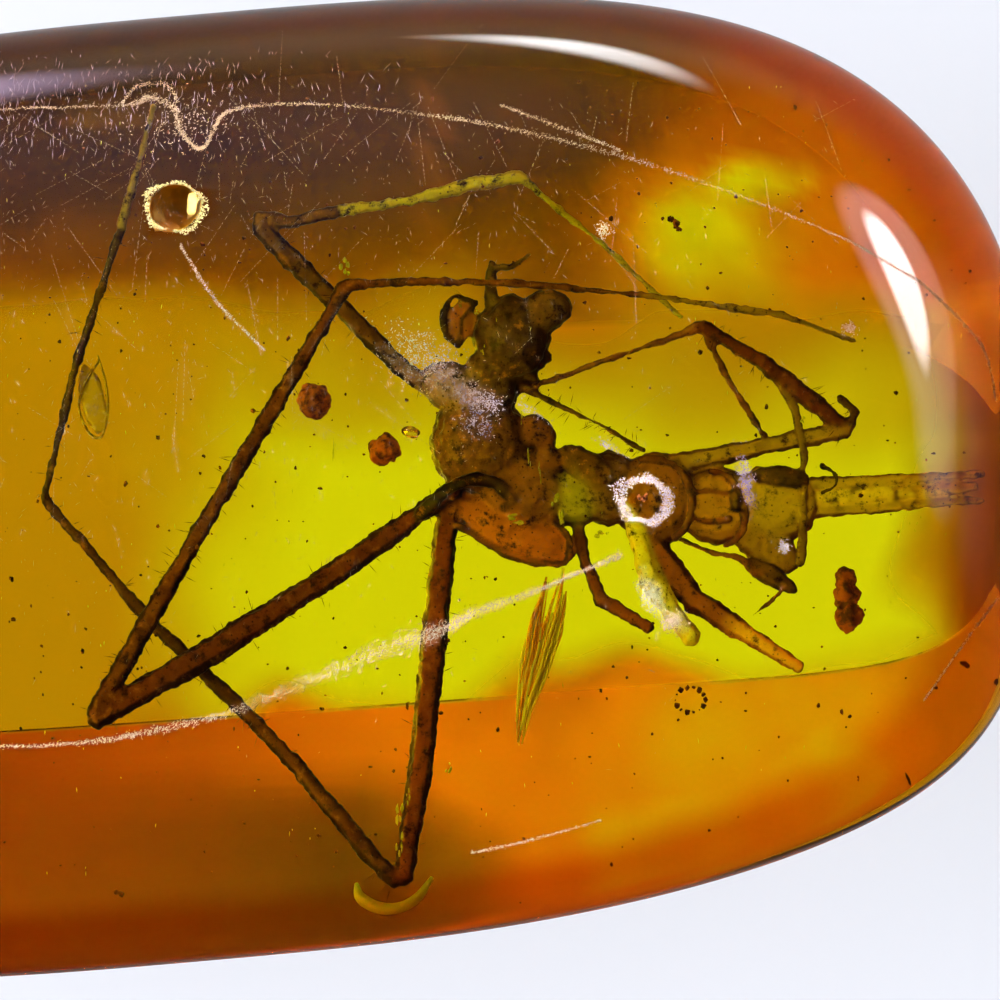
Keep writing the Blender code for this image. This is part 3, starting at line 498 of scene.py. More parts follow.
def cuticle_material():
    """Insect cuticle: dark brown chitin, with clearer skin between its edges, a little glossy. Its
    colours and clearness lie in the mesh, with painted shade darkening the sides, and fine mottling breaks them up."""
    material, tree, shader, position = new_material("insect_chitin")
    tone = add(tree, "ShaderNodeAttribute", attribute_name="tone")
    clear = add(tree, "ShaderNodeAttribute", attribute_name="clear")
    mottle = add(tree, "ShaderNodeTexNoise", {"Scale": 3.0, "Detail": 6.0, "Roughness": 0.7}, {"Vector": position})
    fleck = add(tree, "ShaderNodeTexVoronoi", {"Scale": 6.0, "Randomness": 1.0}, {"Vector": position})
    pale = mix_colour(tree, smooth_step(tree, mottle.outputs["Fac"], 0.46, 0.3), tone.outputs["Color"], "#A86A30")
    lit = mix_colour(tree, 0.6, pale, tone.outputs["Color"])
    darkened = mix_colour(tree, smooth_step(tree, mottle.outputs["Fac"], 0.5, 0.66), lit, "#1C0C08")
    surface = mix_colour(tree, smooth_step(tree, fleck.outputs["Distance"], 0.22, 0.05), darkened, "#1C0E0A")
    tree.links.new(surface, shader.inputs["Base Color"])
    tree.links.new(clear.outputs["Fac"], shader.inputs["Transmission Weight"])
    shader.inputs["Roughness"].default_value = 0.38
    shader.inputs["IOR"].default_value = 1.12
    bump = add(tree, "ShaderNodeBump", {"Strength": 0.6, "Distance": 0.02 * MM}, {"Height": mottle.outputs["Fac"]})
    tree.links.new(bump.outputs["Normal"], shader.inputs["Normal"])
    return material


def fibre_material(clear=0.3):
    """A golden splinter of plant: clear, resin-soaked fibres with bright, straw-pale streaks along them, which are
    painted highlights.
    """
    material, tree, shader, position = new_material("resin_soaked_plant_fibre")
    tint = add(tree, "ShaderNodeAttribute", attribute_name="tint")
    streak = add(tree, "ShaderNodeTexNoise", {"Scale": 5.0, "Detail": 4.0}, {"Vector": position})
    # Painted highlights: pale streaks mixed into the fibres' colour.
    pale = smooth_step(tree, streak.outputs["Fac"], 0.5, 0.72)
    colour = mix_colour(tree, math_node(tree, "MULTIPLY", pale, 0.5), tint.outputs["Color"], "#FFF2B0")
    tree.links.new(colour, shader.inputs["Base Color"])
    shader.inputs["Roughness"].default_value = 0.3
    shader.inputs["IOR"].default_value = 1.12
    shader.inputs["Transmission Weight"].default_value = clear
    return material


def grain_material(name, pale, dark, roughness, clear=0.0):
    """A crumb or pellet in the resin: mottled between two browns, dull, and clear at its thin places."""
    material, tree, shader, position = new_material(name)
    mottle = add(tree, "ShaderNodeTexNoise", {"Scale": 4.0, "Detail": 5.0, "Roughness": 0.65}, {"Vector": position})
    colour = mix_colour(tree, smooth_step(tree, mottle.outputs["Fac"], 0.4, 0.62), pale, dark)
    tree.links.new(colour, shader.inputs["Base Color"])
    shader.inputs["Roughness"].default_value = roughness
    shader.inputs["IOR"].default_value = 1.15
    shader.inputs["Transmission Weight"].default_value = clear
    return material


def signed_power(value, power):
    return math.copysign(abs(value) ** power, value)


def midline(x, bend, half_length):
    """How far the plan's midline is bent sideways at x."""
    share = max(-1.0, min(1.0, x / half_length))
    return bend * share * (1 - abs(share) ** 4)


class StoneForm:
    """The nugget's outside as rings of points, in millimetres."""

    def __init__(self, settings):
        self.half_length = settings.half_length / MM
        self.height = settings.height / MM
        self.points = settings.ring_points

    def plan(self, half_length, half_width, power, z, y, bend):
        ring = []
        for i in range(self.points):
            angle = 2 * math.pi * i / self.points
            px = half_length * signed_power(math.cos(angle), 2 / power)
            py = half_width * signed_power(math.sin(angle), 2 / power)
            ring.append(Vector((px, y + py + midline(px, bend, self.half_length), z)))
        return ring

    def belly(self, share):
        """A ring of the underside, from the flat face at 0 to the girdle at 1."""
        z = GIRDLE_HEIGHT * share
        flat = self.plan(FLAT_HALF_LENGTH, FLAT_HALF_WIDTH, FLAT_POWER, z, FLAT_Y, FLAT_BEND)
        girdle = self.plan(self.half_length, HALF_WIDTH, PLAN_POWER, z, 0.0, MIDLINE_BEND)
        return [low.lerp(high, math.sin(share * math.pi / 2)) for low, high in zip(flat, girdle)]

    def dome(self, share):
        """A ring of the top, from the girdle at 0 to near the crown at 1."""
        reach = math.cos(share * math.pi / 2) ** (2 / DOME_POWER)
        z = GIRDLE_HEIGHT + (self.height - GIRDLE_HEIGHT) * math.sin(share * math.pi / 2)
        return self.plan(self.half_length * reach, HALF_WIDTH * reach, PLAN_POWER, z, 0.0, MIDLINE_BEND)

    def dome_height(self, x, y):
        """The height of the polished top over x and y."""
        along = abs(x) / self.half_length
        across = abs(y - midline(x, MIDLINE_BEND, self.half_length)) / HALF_WIDTH
        reach = min((along**PLAN_POWER + across**PLAN_POWER) ** (1 / PLAN_POWER), 0.9999)
        return GIRDLE_HEIGHT + (self.height - GIRDLE_HEIGHT) * math.sqrt(1 - reach**DOME_POWER)

    def dome_point(self, x, y, lift=0.0):
        """The point of the polished top over x and y, raised by lift along the surface's normal, and that normal."""
        step = 0.02
        slope_x = (self.dome_height(x + step, y) - self.dome_height(x - step, y)) / (2 * step)
        slope_y = (self.dome_height(x, y + step) - self.dome_height(x, y - step)) / (2 * step)
        normal = Vector((-slope_x, -slope_y, 1.0)).normalized()
        return Vector((x, y, self.dome_height(x, y))) + normal * lift, normal


def link_mesh(name, mesh, material):
    """A new piece with this mesh and finish, riding on the one body."""
    piece = bpy.data.objects.new(name, mesh)
    bpy.context.scene.collection.objects.link(piece)
    mesh.materials.append(material)
    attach(piece, "root")
    return piece


def mesh_of(name, builder):
    bmesh.ops.recalc_face_normals(builder, faces=builder.faces)
    mesh = bpy.data.meshes.new(name)
    builder.to_mesh(mesh)
    builder.free()
    mesh.shade_smooth()
    return mesh


def eased(values, low, high):
    """0 below low and 1 above high, or the other way round where low is the larger."""
    share = np.clip((values - low) / (high - low), 0, 1)
    return share * share * (3 - 2 * share)


def paint_rind(mesh):
    """Lays the rind's blotched colours in the stone's mesh, with bright yellow spots of painted glow among them."""
    places = read_points(mesh) / MM
    wander = np.array([noise.turbulence_vector(Vector(place) * RIND_BLOTCH, 4, False) for place in places])
    warped = places + wander * RIND_WANDER
    left, right = (np.array(linear(code)[:3]) for code in RIND_COLOURS)
    share = eased(warped[:, 0], -14.0, 10.0)[:, None]
    tone = left * (1 - share) + right * share
    # The patches lay painted glow, bright yellow spots of light, over the rind's own colour.
    for patches, points, softness in ((RIND_PATCHES_AND_PAINTED_GLOW, warped, 0.6), (RIND_SPOTS, places, 0.45)):
        for middle, reach, code, strength in patches:
            length = np.linalg.norm((points - np.array(middle)) / np.array(reach), axis=1)
            share = (eased(length, 1 + softness, 1 - softness) * strength)[:, None]
            tone = tone * (1 - share) + np.array(linear(code)[:3]) * share
    tone = tone * (1 + RIND_MOTTLE * wander[:, 2:3])
    colours = np.clip(np.concatenate([tone, np.ones((len(tone), 1))], axis=1), 0, 1)
    mesh.attributes.new("rind", "FLOAT_COLOR", "POINT").data.foreach_set("color", colours.ravel())
    matt = np.zeros(len(places))
    for *middle, half_x, half_y, half_z, turn in HOLLOWS[:2]:
        near = nearness(places, ("", "", 0, middle, (half_x, half_y, half_z), turn))
        matt = np.maximum(matt, np.abs(near - 1) < 3 * HOLLOW_ROUGHNESS)
    mesh.attributes.new("matt", "FLOAT", "POINT").data.foreach_set("value", matt)


def hollowed(mesh):
    """The stone's mesh with its open pits and its sealed bubble cut out of it."""
    holes = Shards(HOLLOW_SEED)
    for x, y, z, half_x, half_y, half_z, turn in HOLLOWS:
        holes.lump((x, y, z), (half_x, half_y, half_z), turn, HOLLOW_ROUGHNESS)
    stone = bpy.data.objects.new("stone_uncut", mesh)
    cutter = bpy.data.objects.new("holes", holes.mesh("holes"))
    for obj in (stone, cutter):
        bpy.context.scene.collection.objects.link(obj)
    cut = stone.modifiers.new("cut_hollows", "BOOLEAN")
    cut.operation = "DIFFERENCE"
    cut.solver = "EXACT"
    cut.object = cutter
    made = bpy.data.meshes.new_from_object(stone.evaluated_get(bpy.context.evaluated_depsgraph_get()))
    for obj in (stone, cutter):
        bpy.data.objects.remove(obj)
    return made


class AMBER_OT_stone(bpy.types.Operator):
    """Makes the clear nugget, in one piece, in place of its two halves"""

    bl_idname = "amber.stone"
    bl_label = "Amber stone"

    def execute(self, context):
        settings = context.scene.amber_stone
        form = StoneForm(settings)
        rings = [form.belly(i / settings.belly_rings) for i in range(settings.belly_rings + 1)]
        rings += [form.dome(i / settings.dome_rings) for i in range(1, settings.dome_rings)]
        builder = bmesh.new()
        loops = [[builder.verts.new(point * MM) for point in ring] for ring in rings]
        count = settings.ring_points
        for low, high in zip(loops, loops[1:]):
            for i in range(count):
                builder.faces.new((low[i], low[(i + 1) % count], high[(i + 1) % count], high[i]))
        builder.faces.new(reversed(loops[0]))
        crown = builder.verts.new((0, 0, settings.height))
        for i in range(count):
            builder.faces.new((loops[-1][i], loops[-1][(i + 1) % count], crown))
        mesh = hollowed(mesh_of("amber_stone", builder))
        paint_rind(mesh)
        mesh.shade_smooth()
        mesh.set_sharp_from_angle(angle=math.radians(20))
        stone = link_mesh("amber_stone", mesh, amber_material())
        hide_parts("amber_upper_half", "amber_lower_half")
        return {"FINISHED"}


def path_point(points, share):
    """The point, with its last value, at this share of the way along a smooth path through the points."""
    place = share * (len(points) - 1)
    i = min(int(place), len(points) - 2)
    t = place - i
    before, first, second, after = (
        np.array(points[max(0, min(len(points) - 1, i + step))], dtype=float) for step in (-1, 0, 1, 2)
    )
    bend = 2 * before - 5 * first + 4 * second - after
    return 0.5 * (2 * first + (second - before) * t + bend * t * t + (3 * first - before - 3 * second + after) * t**3)


class Shards:
    """Gathers many small closed shapes, in millimetres, for one joined mesh."""

    def __init__(self, seed):
        self.points = []
        self.faces = []
        self.tints = []
        self.tint = linear("#FFFFFF")
        self.draw = random.Random(seed)

    def closed(self, points, faces):
        start = len(self.points)
        self.points += [tuple(point) for point in points]
        self.tints += [self.tint] * len(points)
        self.faces += [tuple(start + i for i in face) for face in faces]

    def lozenge(self, middle, along, across, length, width, thick):
        """A flat splinter with pointed ends, lying along one direction and across another."""
        normal = along.cross(across).normalized()
        ends = (along * length / 2, across * width / 2, -along * length / 2, -across * width / 2)
        points = [middle + end for end in ends] + [middle + normal * thick / 2, middle - normal * thick / 2]
        self.closed(points, [(i, (i + 1) % 4, 4) for i in range(4)] + [((i + 1) % 4, i, 5) for i in range(4)])

    def grain(self, middle, size, uneven=0.35, stretch=(1, 1, 1)):
        """An uneven crumb."""
        builder = bmesh.new()
        bmesh.ops.create_icosphere(builder, subdivisions=1, radius=1.0)
        points = []
        for vert in builder.verts:
            reach = size * (1 + uneven * (self.draw.random() * 2 - 1))
            points.append(middle + Vector(a * b * reach for a, b in zip(vert.co, stretch)))
        self.closed(points, [[vert.index for vert in face.verts] for face in builder.faces])
        builder.free()

    def tube(self, path, steps, sides, reach=1.0):
        """A tube along a path of x, y, z and radius, closed at both ends."""
        centres = [path_point(path, i / steps) for i in range(steps + 1)]
        points, faces = [], []
        for i, centre in enumerate(centres):
            ahead = Vector(centres[min(i + 1, steps)][:3]) - Vector(centres[max(i - 1, 0)][:3])
            side = ahead.cross(Vector((0, 0, 1))).normalized()
            up = side.cross(ahead).normalized()
            for k in range(sides):
                turn = 2 * math.pi * k / sides
                out = side * math.cos(turn) + up * math.sin(turn)
                points.append(Vector(centre[:3]) + out * max(float(centre[3]), 0.005) * reach)
        for i in range(steps):
            for k in range(sides):
                k_next = (k + 1) % sides
                low, high = i * sides, (i + 1) * sides
                faces.append((low + k, high + k, high + k_next, low + k_next))
        faces.append(list(range(sides)))
        faces.append(list(range(steps * sides, (steps + 1) * sides))[::-1])
        self.closed(points, faces)

    def lump(self, middle, half_sizes, turn, uneven=0.0):
        """An ellipsoid turned about Z, smooth or with an uneven skin."""
        builder = bmesh.new()
        bmesh.ops.create_icosphere(builder, subdivisions=3, radius=1.0)
        spin = Matrix.Rotation(math.radians(turn), 3, "Z")
        points = []
        for vert in builder.verts:
            reach = 1 + uneven * (noise.noise(vert.co * 2.5 + Vector(middle)) * 2)
            points.append(Vector(middle) + spin @ Vector(a * b * reach for a, b in zip(vert.co, half_sizes)))
        self.closed(points, [[vert.index for vert in face.verts] for face in builder.faces])
        builder.free()

    def mesh(self, name, smooth=False):
        made = bpy.data.meshes.new(name)
        made.from_pydata([tuple(value * MM for value in point) for point in self.points], [], self.faces)
        builder = bmesh.new()
        builder.from_mesh(made)
        bmesh.ops.recalc_face_normals(builder, faces=builder.faces)
        builder.to_mesh(made)
        builder.free()
        made.attributes.new("tint", "FLOAT_COLOR", "POINT").data.foreach_set("color", np.ravel(self.tints))
        if smooth:
            made.shade_smooth()
        return made


def refined(node_name, voxel, smoothing, extra=None):
    """A fine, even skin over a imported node's solid and the extra shapes, in millimetres."""
    builder = bmesh.new()
    builder.from_mesh(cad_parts[node_name].data)
    bmesh.ops.scale(builder, vec=(1 / MM,) * 3, verts=builder.verts)
    if extra is not None:
        added = [builder.verts.new(point) for point in extra.points]
        for face in extra.faces:
            builder.faces.new([added[i] for i in face])
        bmesh.ops.recalc_face_normals(builder, faces=builder.faces)
    rough = bpy.data.meshes.new("skin")
    builder.to_mesh(rough)
    builder.free()
    holder = bpy.data.objects.new("skin", rough)
    bpy.context.scene.collection.objects.link(holder)
    remesh = holder.modifiers.new("remesh", "REMESH")
    remesh.mode = "VOXEL"
    remesh.voxel_size = voxel
    smooth = holder.modifiers.new("smooth", "SMOOTH")
    smooth.factor = 0.5
    smooth.iterations = smoothing
    fine = bpy.data.meshes.new_from_object(holder.evaluated_get(bpy.context.evaluated_depsgraph_get()))
    bpy.data.objects.remove(holder)
    return fine


def read_points(mesh, attribute="co"):
    source = mesh.vertices if attribute == "co" else mesh.vertex_normals
    key = "co" if attribute == "co" else "vector"
    values = np.empty(len(mesh.vertices) * 3)
    source.foreach_get(key, values)
    return values.reshape(-1, 3)


def roughened(mesh, depths):
    """Moves each point along its normal by noise: pairs of pattern size and depth, in millimetres."""
    places = read_points(mesh)
    normals = read_points(mesh, "normal")
    shift = np.zeros(len(places))
    for size, depth in depths:
        shift += [depth * noise.noise(Vector(place) / size) for place in places]
    moved = (places + normals * shift[:, None]) * MM
    mesh.vertices.foreach_set("co", moved.ravel())
    mesh.update()
    mesh.shade_smooth()
    return places, normals


def nearness(places, limb_or_lump):
    """How near each place is to a limb or a lump: 1 at its skin, less inside, more outside."""
    if len(limb_or_lump) == 5:
        near = np.full(len(places), np.inf)
        for start, end in zip(limb_or_lump[4], limb_or_lump[4][1:]):
            start, end = np.array(start), np.array(end)
            run = end[:3] - start[:3]
            share = np.clip(((places - start[:3]) @ run) / (run @ run), 0, 1)
            radius = start[3] + (end[3] - start[3]) * share
            middle = start[:3] + share[:, None] * run
            near = np.minimum(near, np.linalg.norm(places - middle, axis=1) / radius)
        return near
    _, _, _, middle, half_sizes, turn = limb_or_lump
    angle = math.radians(turn)
    spin = np.array([[math.cos(angle), math.sin(angle)], [-math.sin(angle), math.cos(angle)]])
    offset = places - np.array(middle)
    offset[:, :2] = offset[:, :2] @ spin.T
    return np.linalg.norm(offset / np.array(half_sizes), axis=1)


def paint_insect(mesh, places, normals):
    """Lays each form's colours and clearness in the mesh, with painted shade: darker where the skin turns down at the
    sides.
    """
    forms = list(LIMBS.values()) + list(LUMPS.values())
    near = np.stack([nearness(places, form) for form in forms])
    weight = np.exp(-9 * near)
    weight /= weight.sum(axis=0)
    side_shade = np.array([linear(form[0])[:3] for form in forms])
    core = np.array([linear(form[1])[:3] for form in forms])
    clear = np.array([form[2] for form in forms])
    # Painted shade: where the normal turns sideways, the skin takes the darker edge colour and is less clear.
    side = np.clip((0.88 - np.abs(normals[:, 2])) / 0.45, 0, 1)
    side = side * side * (3 - 2 * side)
    tone = (weight.T @ side_shade) * side[:, None] + (weight.T @ core) * (1 - side)[:, None]
    clearness = (weight.T @ clear) * (1 - 0.7 * side)
    colours = np.concatenate([tone, np.ones((len(tone), 1))], axis=1)
    mesh.attributes.new("tone", "FLOAT_COLOR", "POINT").data.foreach_set("color", colours.ravel())
    mesh.attributes.new("clear", "FLOAT", "POINT").data.foreach_set("value", clearness)


class AMBER_OT_insect(bpy.types.Operator):
    """Makes the insect with its creased skin, over its solid"""

    bl_idname = "amber.insect"
    bl_label = "Insect"

    def execute(self, context):
        settings = context.scene.amber_insect
        extra = Shards(settings.seed)
        for name in ADDED_LIMBS:
            extra.tube(LIMBS[name][4], 12, 8)
        for name in ADDED_LUMPS:
            extra.lump(*LUMPS[name][3:])
        mesh = refined("insect", settings.voxel / MM, 2, extra)
        wrinkle = settings.wrinkle / MM
        places, normals = roughened(mesh, ((1.1, wrinkle * 1.2), (0.35, wrinkle * 1.2), (0.14, wrinkle)))
        paint_insect(mesh, places, normals)
        insect = link_mesh("insect_body", mesh, cuticle_material())
        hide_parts("insect")
        return {"FINISHED"}


class AMBER_OT_bristles(bpy.types.Operator):
    """Sets fine bristles along the insect's legs"""

    bl_idname = "amber.bristles"
    bl_label = "Bristles"

    def execute(self, context):
        shards = Shards(context.scene.amber_insect.seed)
        draw = shards.draw
        for _, _, _, density, points in LIMBS.values():
            length = sum((Vector(a[:3]) - Vector(b[:3])).length for a, b in zip(points, points[1:]))
            for _ in range(int(density * length)):
                share = 0.02 + 0.96 * draw.random()
                here = path_point(points, share)
                ahead = (Vector(path_point(points, share + 0.01)[:3]) - Vector(here[:3])).normalized()
                turn = draw.uniform(0, 2 * math.pi)
                side = ahead.cross(Vector((0, 0, 1))).normalized()
                out = side * math.cos(turn) + side.cross(ahead) * math.sin(turn)
                lean = (out + ahead * draw.uniform(-0.7, 0.2)).normalized()
                root = Vector(here[:3]) + out * here[3] * 0.8
                reach = draw.uniform(0.18, 0.42)
                middle = root + lean * reach / 2
                shards.lozenge(middle, lean, lean.cross(ahead).normalized(), reach, 0.018, 0.018)
        hairs = link_mesh("insect_bristles", shards.mesh("insect_bristles"), bristle_material())
        return {"FINISHED"}


def bristle_material():
    """Bristles of chitin: dark brown, glossy, and too thin to hold any pattern but a change along them."""
    return grain_material("chitin_bristles", "#4A2A10", "#1E100A", 0.4)


class AMBER_OT_plant(bpy.types.Operator):
    """Makes the golden sliver of plant from its fibres, with a husk and a curled scale elsewhere"""

    bl_idname = "amber.plant"
    bl_label = "Plant pieces"

    def execute(self, context):
        shards = Shards(3)
        draw = shards.draw
        for k in range(SLIVER_FIBRES):
            prong = SLIVER_PRONGS[k % len(SLIVER_PRONGS)]
            shards.tint = linear(SLIVER_TINTS[k % len(SLIVER_TINTS)])
            side, depth = draw.gauss(0, 0.5), draw.uniform(-0.6, 0.6)
            first, last = draw.uniform(0.0, 0.35), draw.uniform(0.6, 1.0)
            thick = draw.uniform(0.025, 0.055)
            path = []
            for i in range(7):
                here = path_point(prong, first + (last - first) * i / 6)
                reach = max(-1.0, min(1.0, side)) * here[3]
                width = thick * math.sin(math.pi * (0.12 + 0.8 * i / 6))
                path.append((here[0] + reach + draw.gauss(0, 0.015), here[1], here[2] + depth * here[3], width))
            shards.tube(path, 18, 5)
        sliver = link_mesh("plant_fibres", shards.mesh("plant_fibres", smooth=True), fibre_material())
        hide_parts("plant_sliver")
        scales = Shards(4)
        scales.tint = linear("#D0F040")
        scales.tube(CURLED_SCALE, 24, 8)
        scales.tint = linear("#9A7A08")
        scales.tube(HUSK_EDGE, 40, 6)
        scales.tint = linear("#C8A818")
        scales.lump((-2.61, 1.8, 7.0), (0.30, 0.85, 0.04), 14, 0.1)
        link_mesh("plant_scales", scales.mesh("plant_scales", smooth=True), fibre_material(0.15))
        return {"FINISHED"}


class AMBER_OT_grains(bpy.types.Operator):
    """Makes the two pellets and the crumb of bark"""

    bl_idname = "amber.grains"
    bl_label = "Pellets and bark"

    def execute(self, context):
        pellet = grain_material("resin_soaked_pellet", "#B85E08", "#4A1E06", 0.5, 0.35)
        bark = grain_material("conifer_bark", "#9A4A0A", "#3A1806", 0.7, 0.2)
        for name, finish, slot in (
            ("pellet_round", pellet, "pellet_resin"), ("pellet_small", pellet, "pellet_resin"), ("bark_crumb", bark, "bark")
        ):
            mesh = refined(name, 0.03, 2)
            roughened(mesh, ((0.3, 0.09), (0.12, 0.05)))
            piece = link_mesh(name + "_rough", mesh, finish)
            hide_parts(name)
        return {"FINISHED"}


# Groups of surface dust, and one of painted sheen: middle x and y, half sizes, turn, number of flakes, and their tint.
DUST_AND_SHEEN_PATCHES = (
    (5.35, 2.35, 1.0, 0.75, -35, 420, "#6E6040"),
    (6.0, 2.05, 0.60, 0.55, 0, 300, "#56464E"),
    (6.75, 1.35, 0.80, 0.30, -18, 300, "#625058"),
    (7.35, 1.15, 0.30, 0.25, 0, 90, "#80707C"),
    (8.3, 0.95, 0.55, 0.12, -35, 60, "#7A6A60"),
    (13.56, -0.62, 0.20, 0.62, 8, 380, "#7C6676"),
    # Painted sheen: this dark lilac group over the thorax stands in for a purplish sheen, not dust.
    (6.95, 0.75, 0.50, 0.65, 0, 260, "#40364A"),
    (11.25, -3.6, 0.25, 0.50, 30, 420, "#9A9670"),
    (14.52, -2.25, 0.14, 0.16, 0, 130, "#A89890"),
    (11.75, -4.15, 0.30, 0.26, 0, 300, "#A88C70"),
    (10.05, 5.6, 0.22, 0.20, 0, 120, "#A08A58"),
    (10.2, 0.1, 0.45, 0.10, -30, 60, "#8A7A80"),
    (16.15, 3.3, 0.20, 0.16, 0, 90, "#A06A58"),
    (-0.3, 8.4, 1.3, 0.8, 0, 260, "#80685A"),
)
SEAM_TINT = "#8C7458"
SCRATCH_TINT = "#786650"
# The fine scratches in the upper band are real, but their lilac tint is a painted reflection of the lilac haze of light
# there.
HAZE_LIT_HAIR_TINT = "#80708C"
# The crushed rims of the pits: the pit, tints, middle reach, spread and number of flakes.
PIT_RIMS = (
    (OPEN_PIT, ("#9A8C48", "#7A7034", "#AA9E64"), 0.67, 0.04, 750),
    (RING_PIT, ("#B09C98", "#8A7884", "#C0B0A0"), 0.57, 0.07, 1100),
)


class AMBER_OT_seams(bpy.types.Operator):
    """Lays the crushed seams, the fine scratches and the dust on the polished dome, with painted sheen and painted
    lilac haze among them
    """

    bl_idname = "amber.seams"
    bl_label = "Seams and scratches"

    def execute(self, context):
        settings = context.scene.amber_marks
        form = StoneForm(context.scene.amber_stone)
        shards = Shards(settings.seed)
        draw = shards.draw
        shards.tint = linear(SEAM_TINT)
        for points in SEAMS.values():
            length = sum(math.dist(a[:2], b[:2]) for a, b in zip(points, points[1:]))
            for _ in range(int(settings.seam_flakes * length)):
                x, y, half_width = path_point(points, draw.random())
                x += draw.gauss(0, half_width * 0.5)
                y += draw.gauss(0, half_width * 0.6)
                turn = draw.choice((0.4, 1.2)) + draw.gauss(0, 0.4)
                self.flake(shards, form, x, y, turn, draw.uniform(0.02, 0.05 + half_width * 0.7), 0.012)
        shards.tint = linear(SCRATCH_TINT)
        for _ in range(settings.scratches):
            x = draw.triangular(-17, 18, -2)
            y = draw.triangular(-8, 9.5, 8.5)
            length = draw.choice((0.04, 0.06, 0.1, 0.2))
            self.flake(shards, form, x, y, draw.gauss(math.pi / 2, 0.6), length, 0.007)
        for _ in range(settings.scratches // 16):
            x, y = draw.triangular(-17, 17, 0), draw.triangular(-3, 9.5, 8.5)
            angle, length = draw.uniform(0.5, 2.7), draw.uniform(0.5, 2.4)
            for i in range(int(length / 0.1)):
                step = i * 0.1 + draw.uniform(-0.03, 0.03)
                place = (x + math.cos(angle) * step, y + math.sin(angle) * step)
                self.flake(shards, form, *place, angle + draw.gauss(0, 0.2), 0.09, 0.007)
        # Painted reflection: these scratches are tinted lilac, the colour of the haze of light they catch.
        shards.tint = linear(HAZE_LIT_HAIR_TINT)
        for _ in range(settings.scratches // 3):
            x, y = draw.triangular(-10, 6, -6), draw.triangular(7.0, 10.6, 9.6)
            self.flake(shards, form, x, y, draw.gauss(math.pi / 2, 0.25), draw.uniform(0.08, 0.4), 0.008)
        for x, y, half_x, half_y, turn, count, tint in DUST_AND_SHEEN_PATCHES:
            shards.tint = linear(tint)
            cos, sin = math.cos(math.radians(turn)), math.sin(math.radians(turn))
            for _ in range(count):
                u, v = draw.gauss(0, half_x * 0.5), draw.gauss(0, half_y * 0.5)
                place = (x + u * cos - v * sin, y + u * sin + v * cos)
                self.flake(shards, form, *place, draw.uniform(0, math.pi), draw.uniform(0.02, 0.09), 0.025)
        for pit, tints, middle_reach, spread, count in PIT_RIMS:
            for _ in range(count):
                shards.tint = linear(draw.choice(tints))
                turn = draw.uniform(0, 2 * math.pi)
                wave = 0.07 * math.sin(2 * turn + 2) + 0.05 * math.sin(5 * turn + 1)
                reach = middle_reach * (1 + wave) + draw.gauss(0, spread * (1 + 6 * wave))
                place = (pit[0] + math.cos(turn) * reach, pit[1] + math.sin(turn) * reach)
                if reach > pit[3]:
                    self.flake(shards, form, *place, draw.uniform(0, math.pi), draw.uniform(0.03, 0.12), 0.03)
        link_mesh("surface_marks", shards.mesh("surface_marks"), crushed_and_sheen_material())
        return {"FINISHED"}

    def flake(self, shards, form, x, y, angle, length, width=0.022):
        """One splinter of crushed amber on the dome over x and y."""
        middle, normal = form.dome_point(x, y, 0.002)
        along = Vector((math.cos(angle), math.sin(angle), 0.0))
        along = (along - normal * along.dot(normal)).normalized()
        shards.lozenge(middle, along, normal.cross(along), length, width, 0.008)


def crushed_and_sheen_material():
    """Crushed amber and dust in scratches and pits, also worn by flakes of painted sheen: a dull, pale powder that lets
    half of the light through.
    """
    material, tree, shader, position = new_material("crushed_amber_and_sheen")
    tint = add(tree, "ShaderNodeAttribute", attribute_name="tint")
    fleck = add(tree, "ShaderNodeTexNoise", {"Scale": 6.0, "Detail": 3.0}, {"Vector": position})
    colour = mix_colour(tree, smooth_step(tree, fleck.outputs["Fac"], 0.35, 0.65), tint.outputs["Color"], "#B89A80")
    deep = mix_colour(tree, 0.75, colour, tint.outputs["Color"])
    tree.links.new(deep, shader.inputs["Base Color"])
    shader.inputs["Roughness"].default_value = 0.55
    shader.inputs["IOR"].default_value = 1.3
    shader.inputs["Transmission Weight"].default_value = 0.25
    return material


# Crumbs of bark dust: x, y, z, size, and how much wider than high each is.
CRUMBS = (
    (11.63, 6.19, 7.0, 0.17, 1.3),
    (7.75, 5.17, 7.0, 0.08, 1.5),
    (14.55, 2.3, 7.0, 0.05, 2.0),
    (6.1, -4.0, 7.6, 0.06, 1.0),
    (-2.0, -9.5, 6.6, 0.12, 0.8),
    (11.0, -1.18, 12.0, 0.13, 1.3),
)
SPECK_RING_COUNT = 14
# Painted yellow-green glints on and beside the insect, bright flakes standing in for sparkles of light: x, y, z and
# half sizes.
GLINTS = (
    (3.6, 4.85, 8.75, 0.14, 0.22),
    (6.41, 4.12, 7.35, 0.05, 0.12),
    (6.81, 3.93, 7.35, 0.07, 0.07),
    (6.99, 2.95, 7.95, 0.04, 0.14),
    (6.95, 4.7, 7.45, 0.10, 0.05),
    (7.91, 1.28, 7.85, 0.03, 0.18),
    (8.1, 0.3, 7.75, 0.05, 0.35),
    (8.32, 0.0, 7.7, 0.05, 0.3),
    (8.7, -0.66, 7.35, 0.15, 0.2),
    (8.86, -1.1, 7.3, 0.12, 0.3),
    (7.66, -1.16, 7.5, 0.24, 0.12),
    (9.84, -0.97, 7.45, 0.03, 0.09),
    (9.9, -1.4, 7.35, 0.2, 0.14),
    (14.7, 1.35, 7.25, 0.07, 0.12),
    (5.02, -8.0, 7.65, 0.12, 0.35),
    (4.95, -8.75, 7.6, 0.1, 0.3),
    (5.15, -7.55, 7.6, 0.06, 0.16),
    (6.2, -6.9, 7.4, 0.1, 0.16),
    (3.3, 0.6, 7.0, 0.02, 0.5),
)


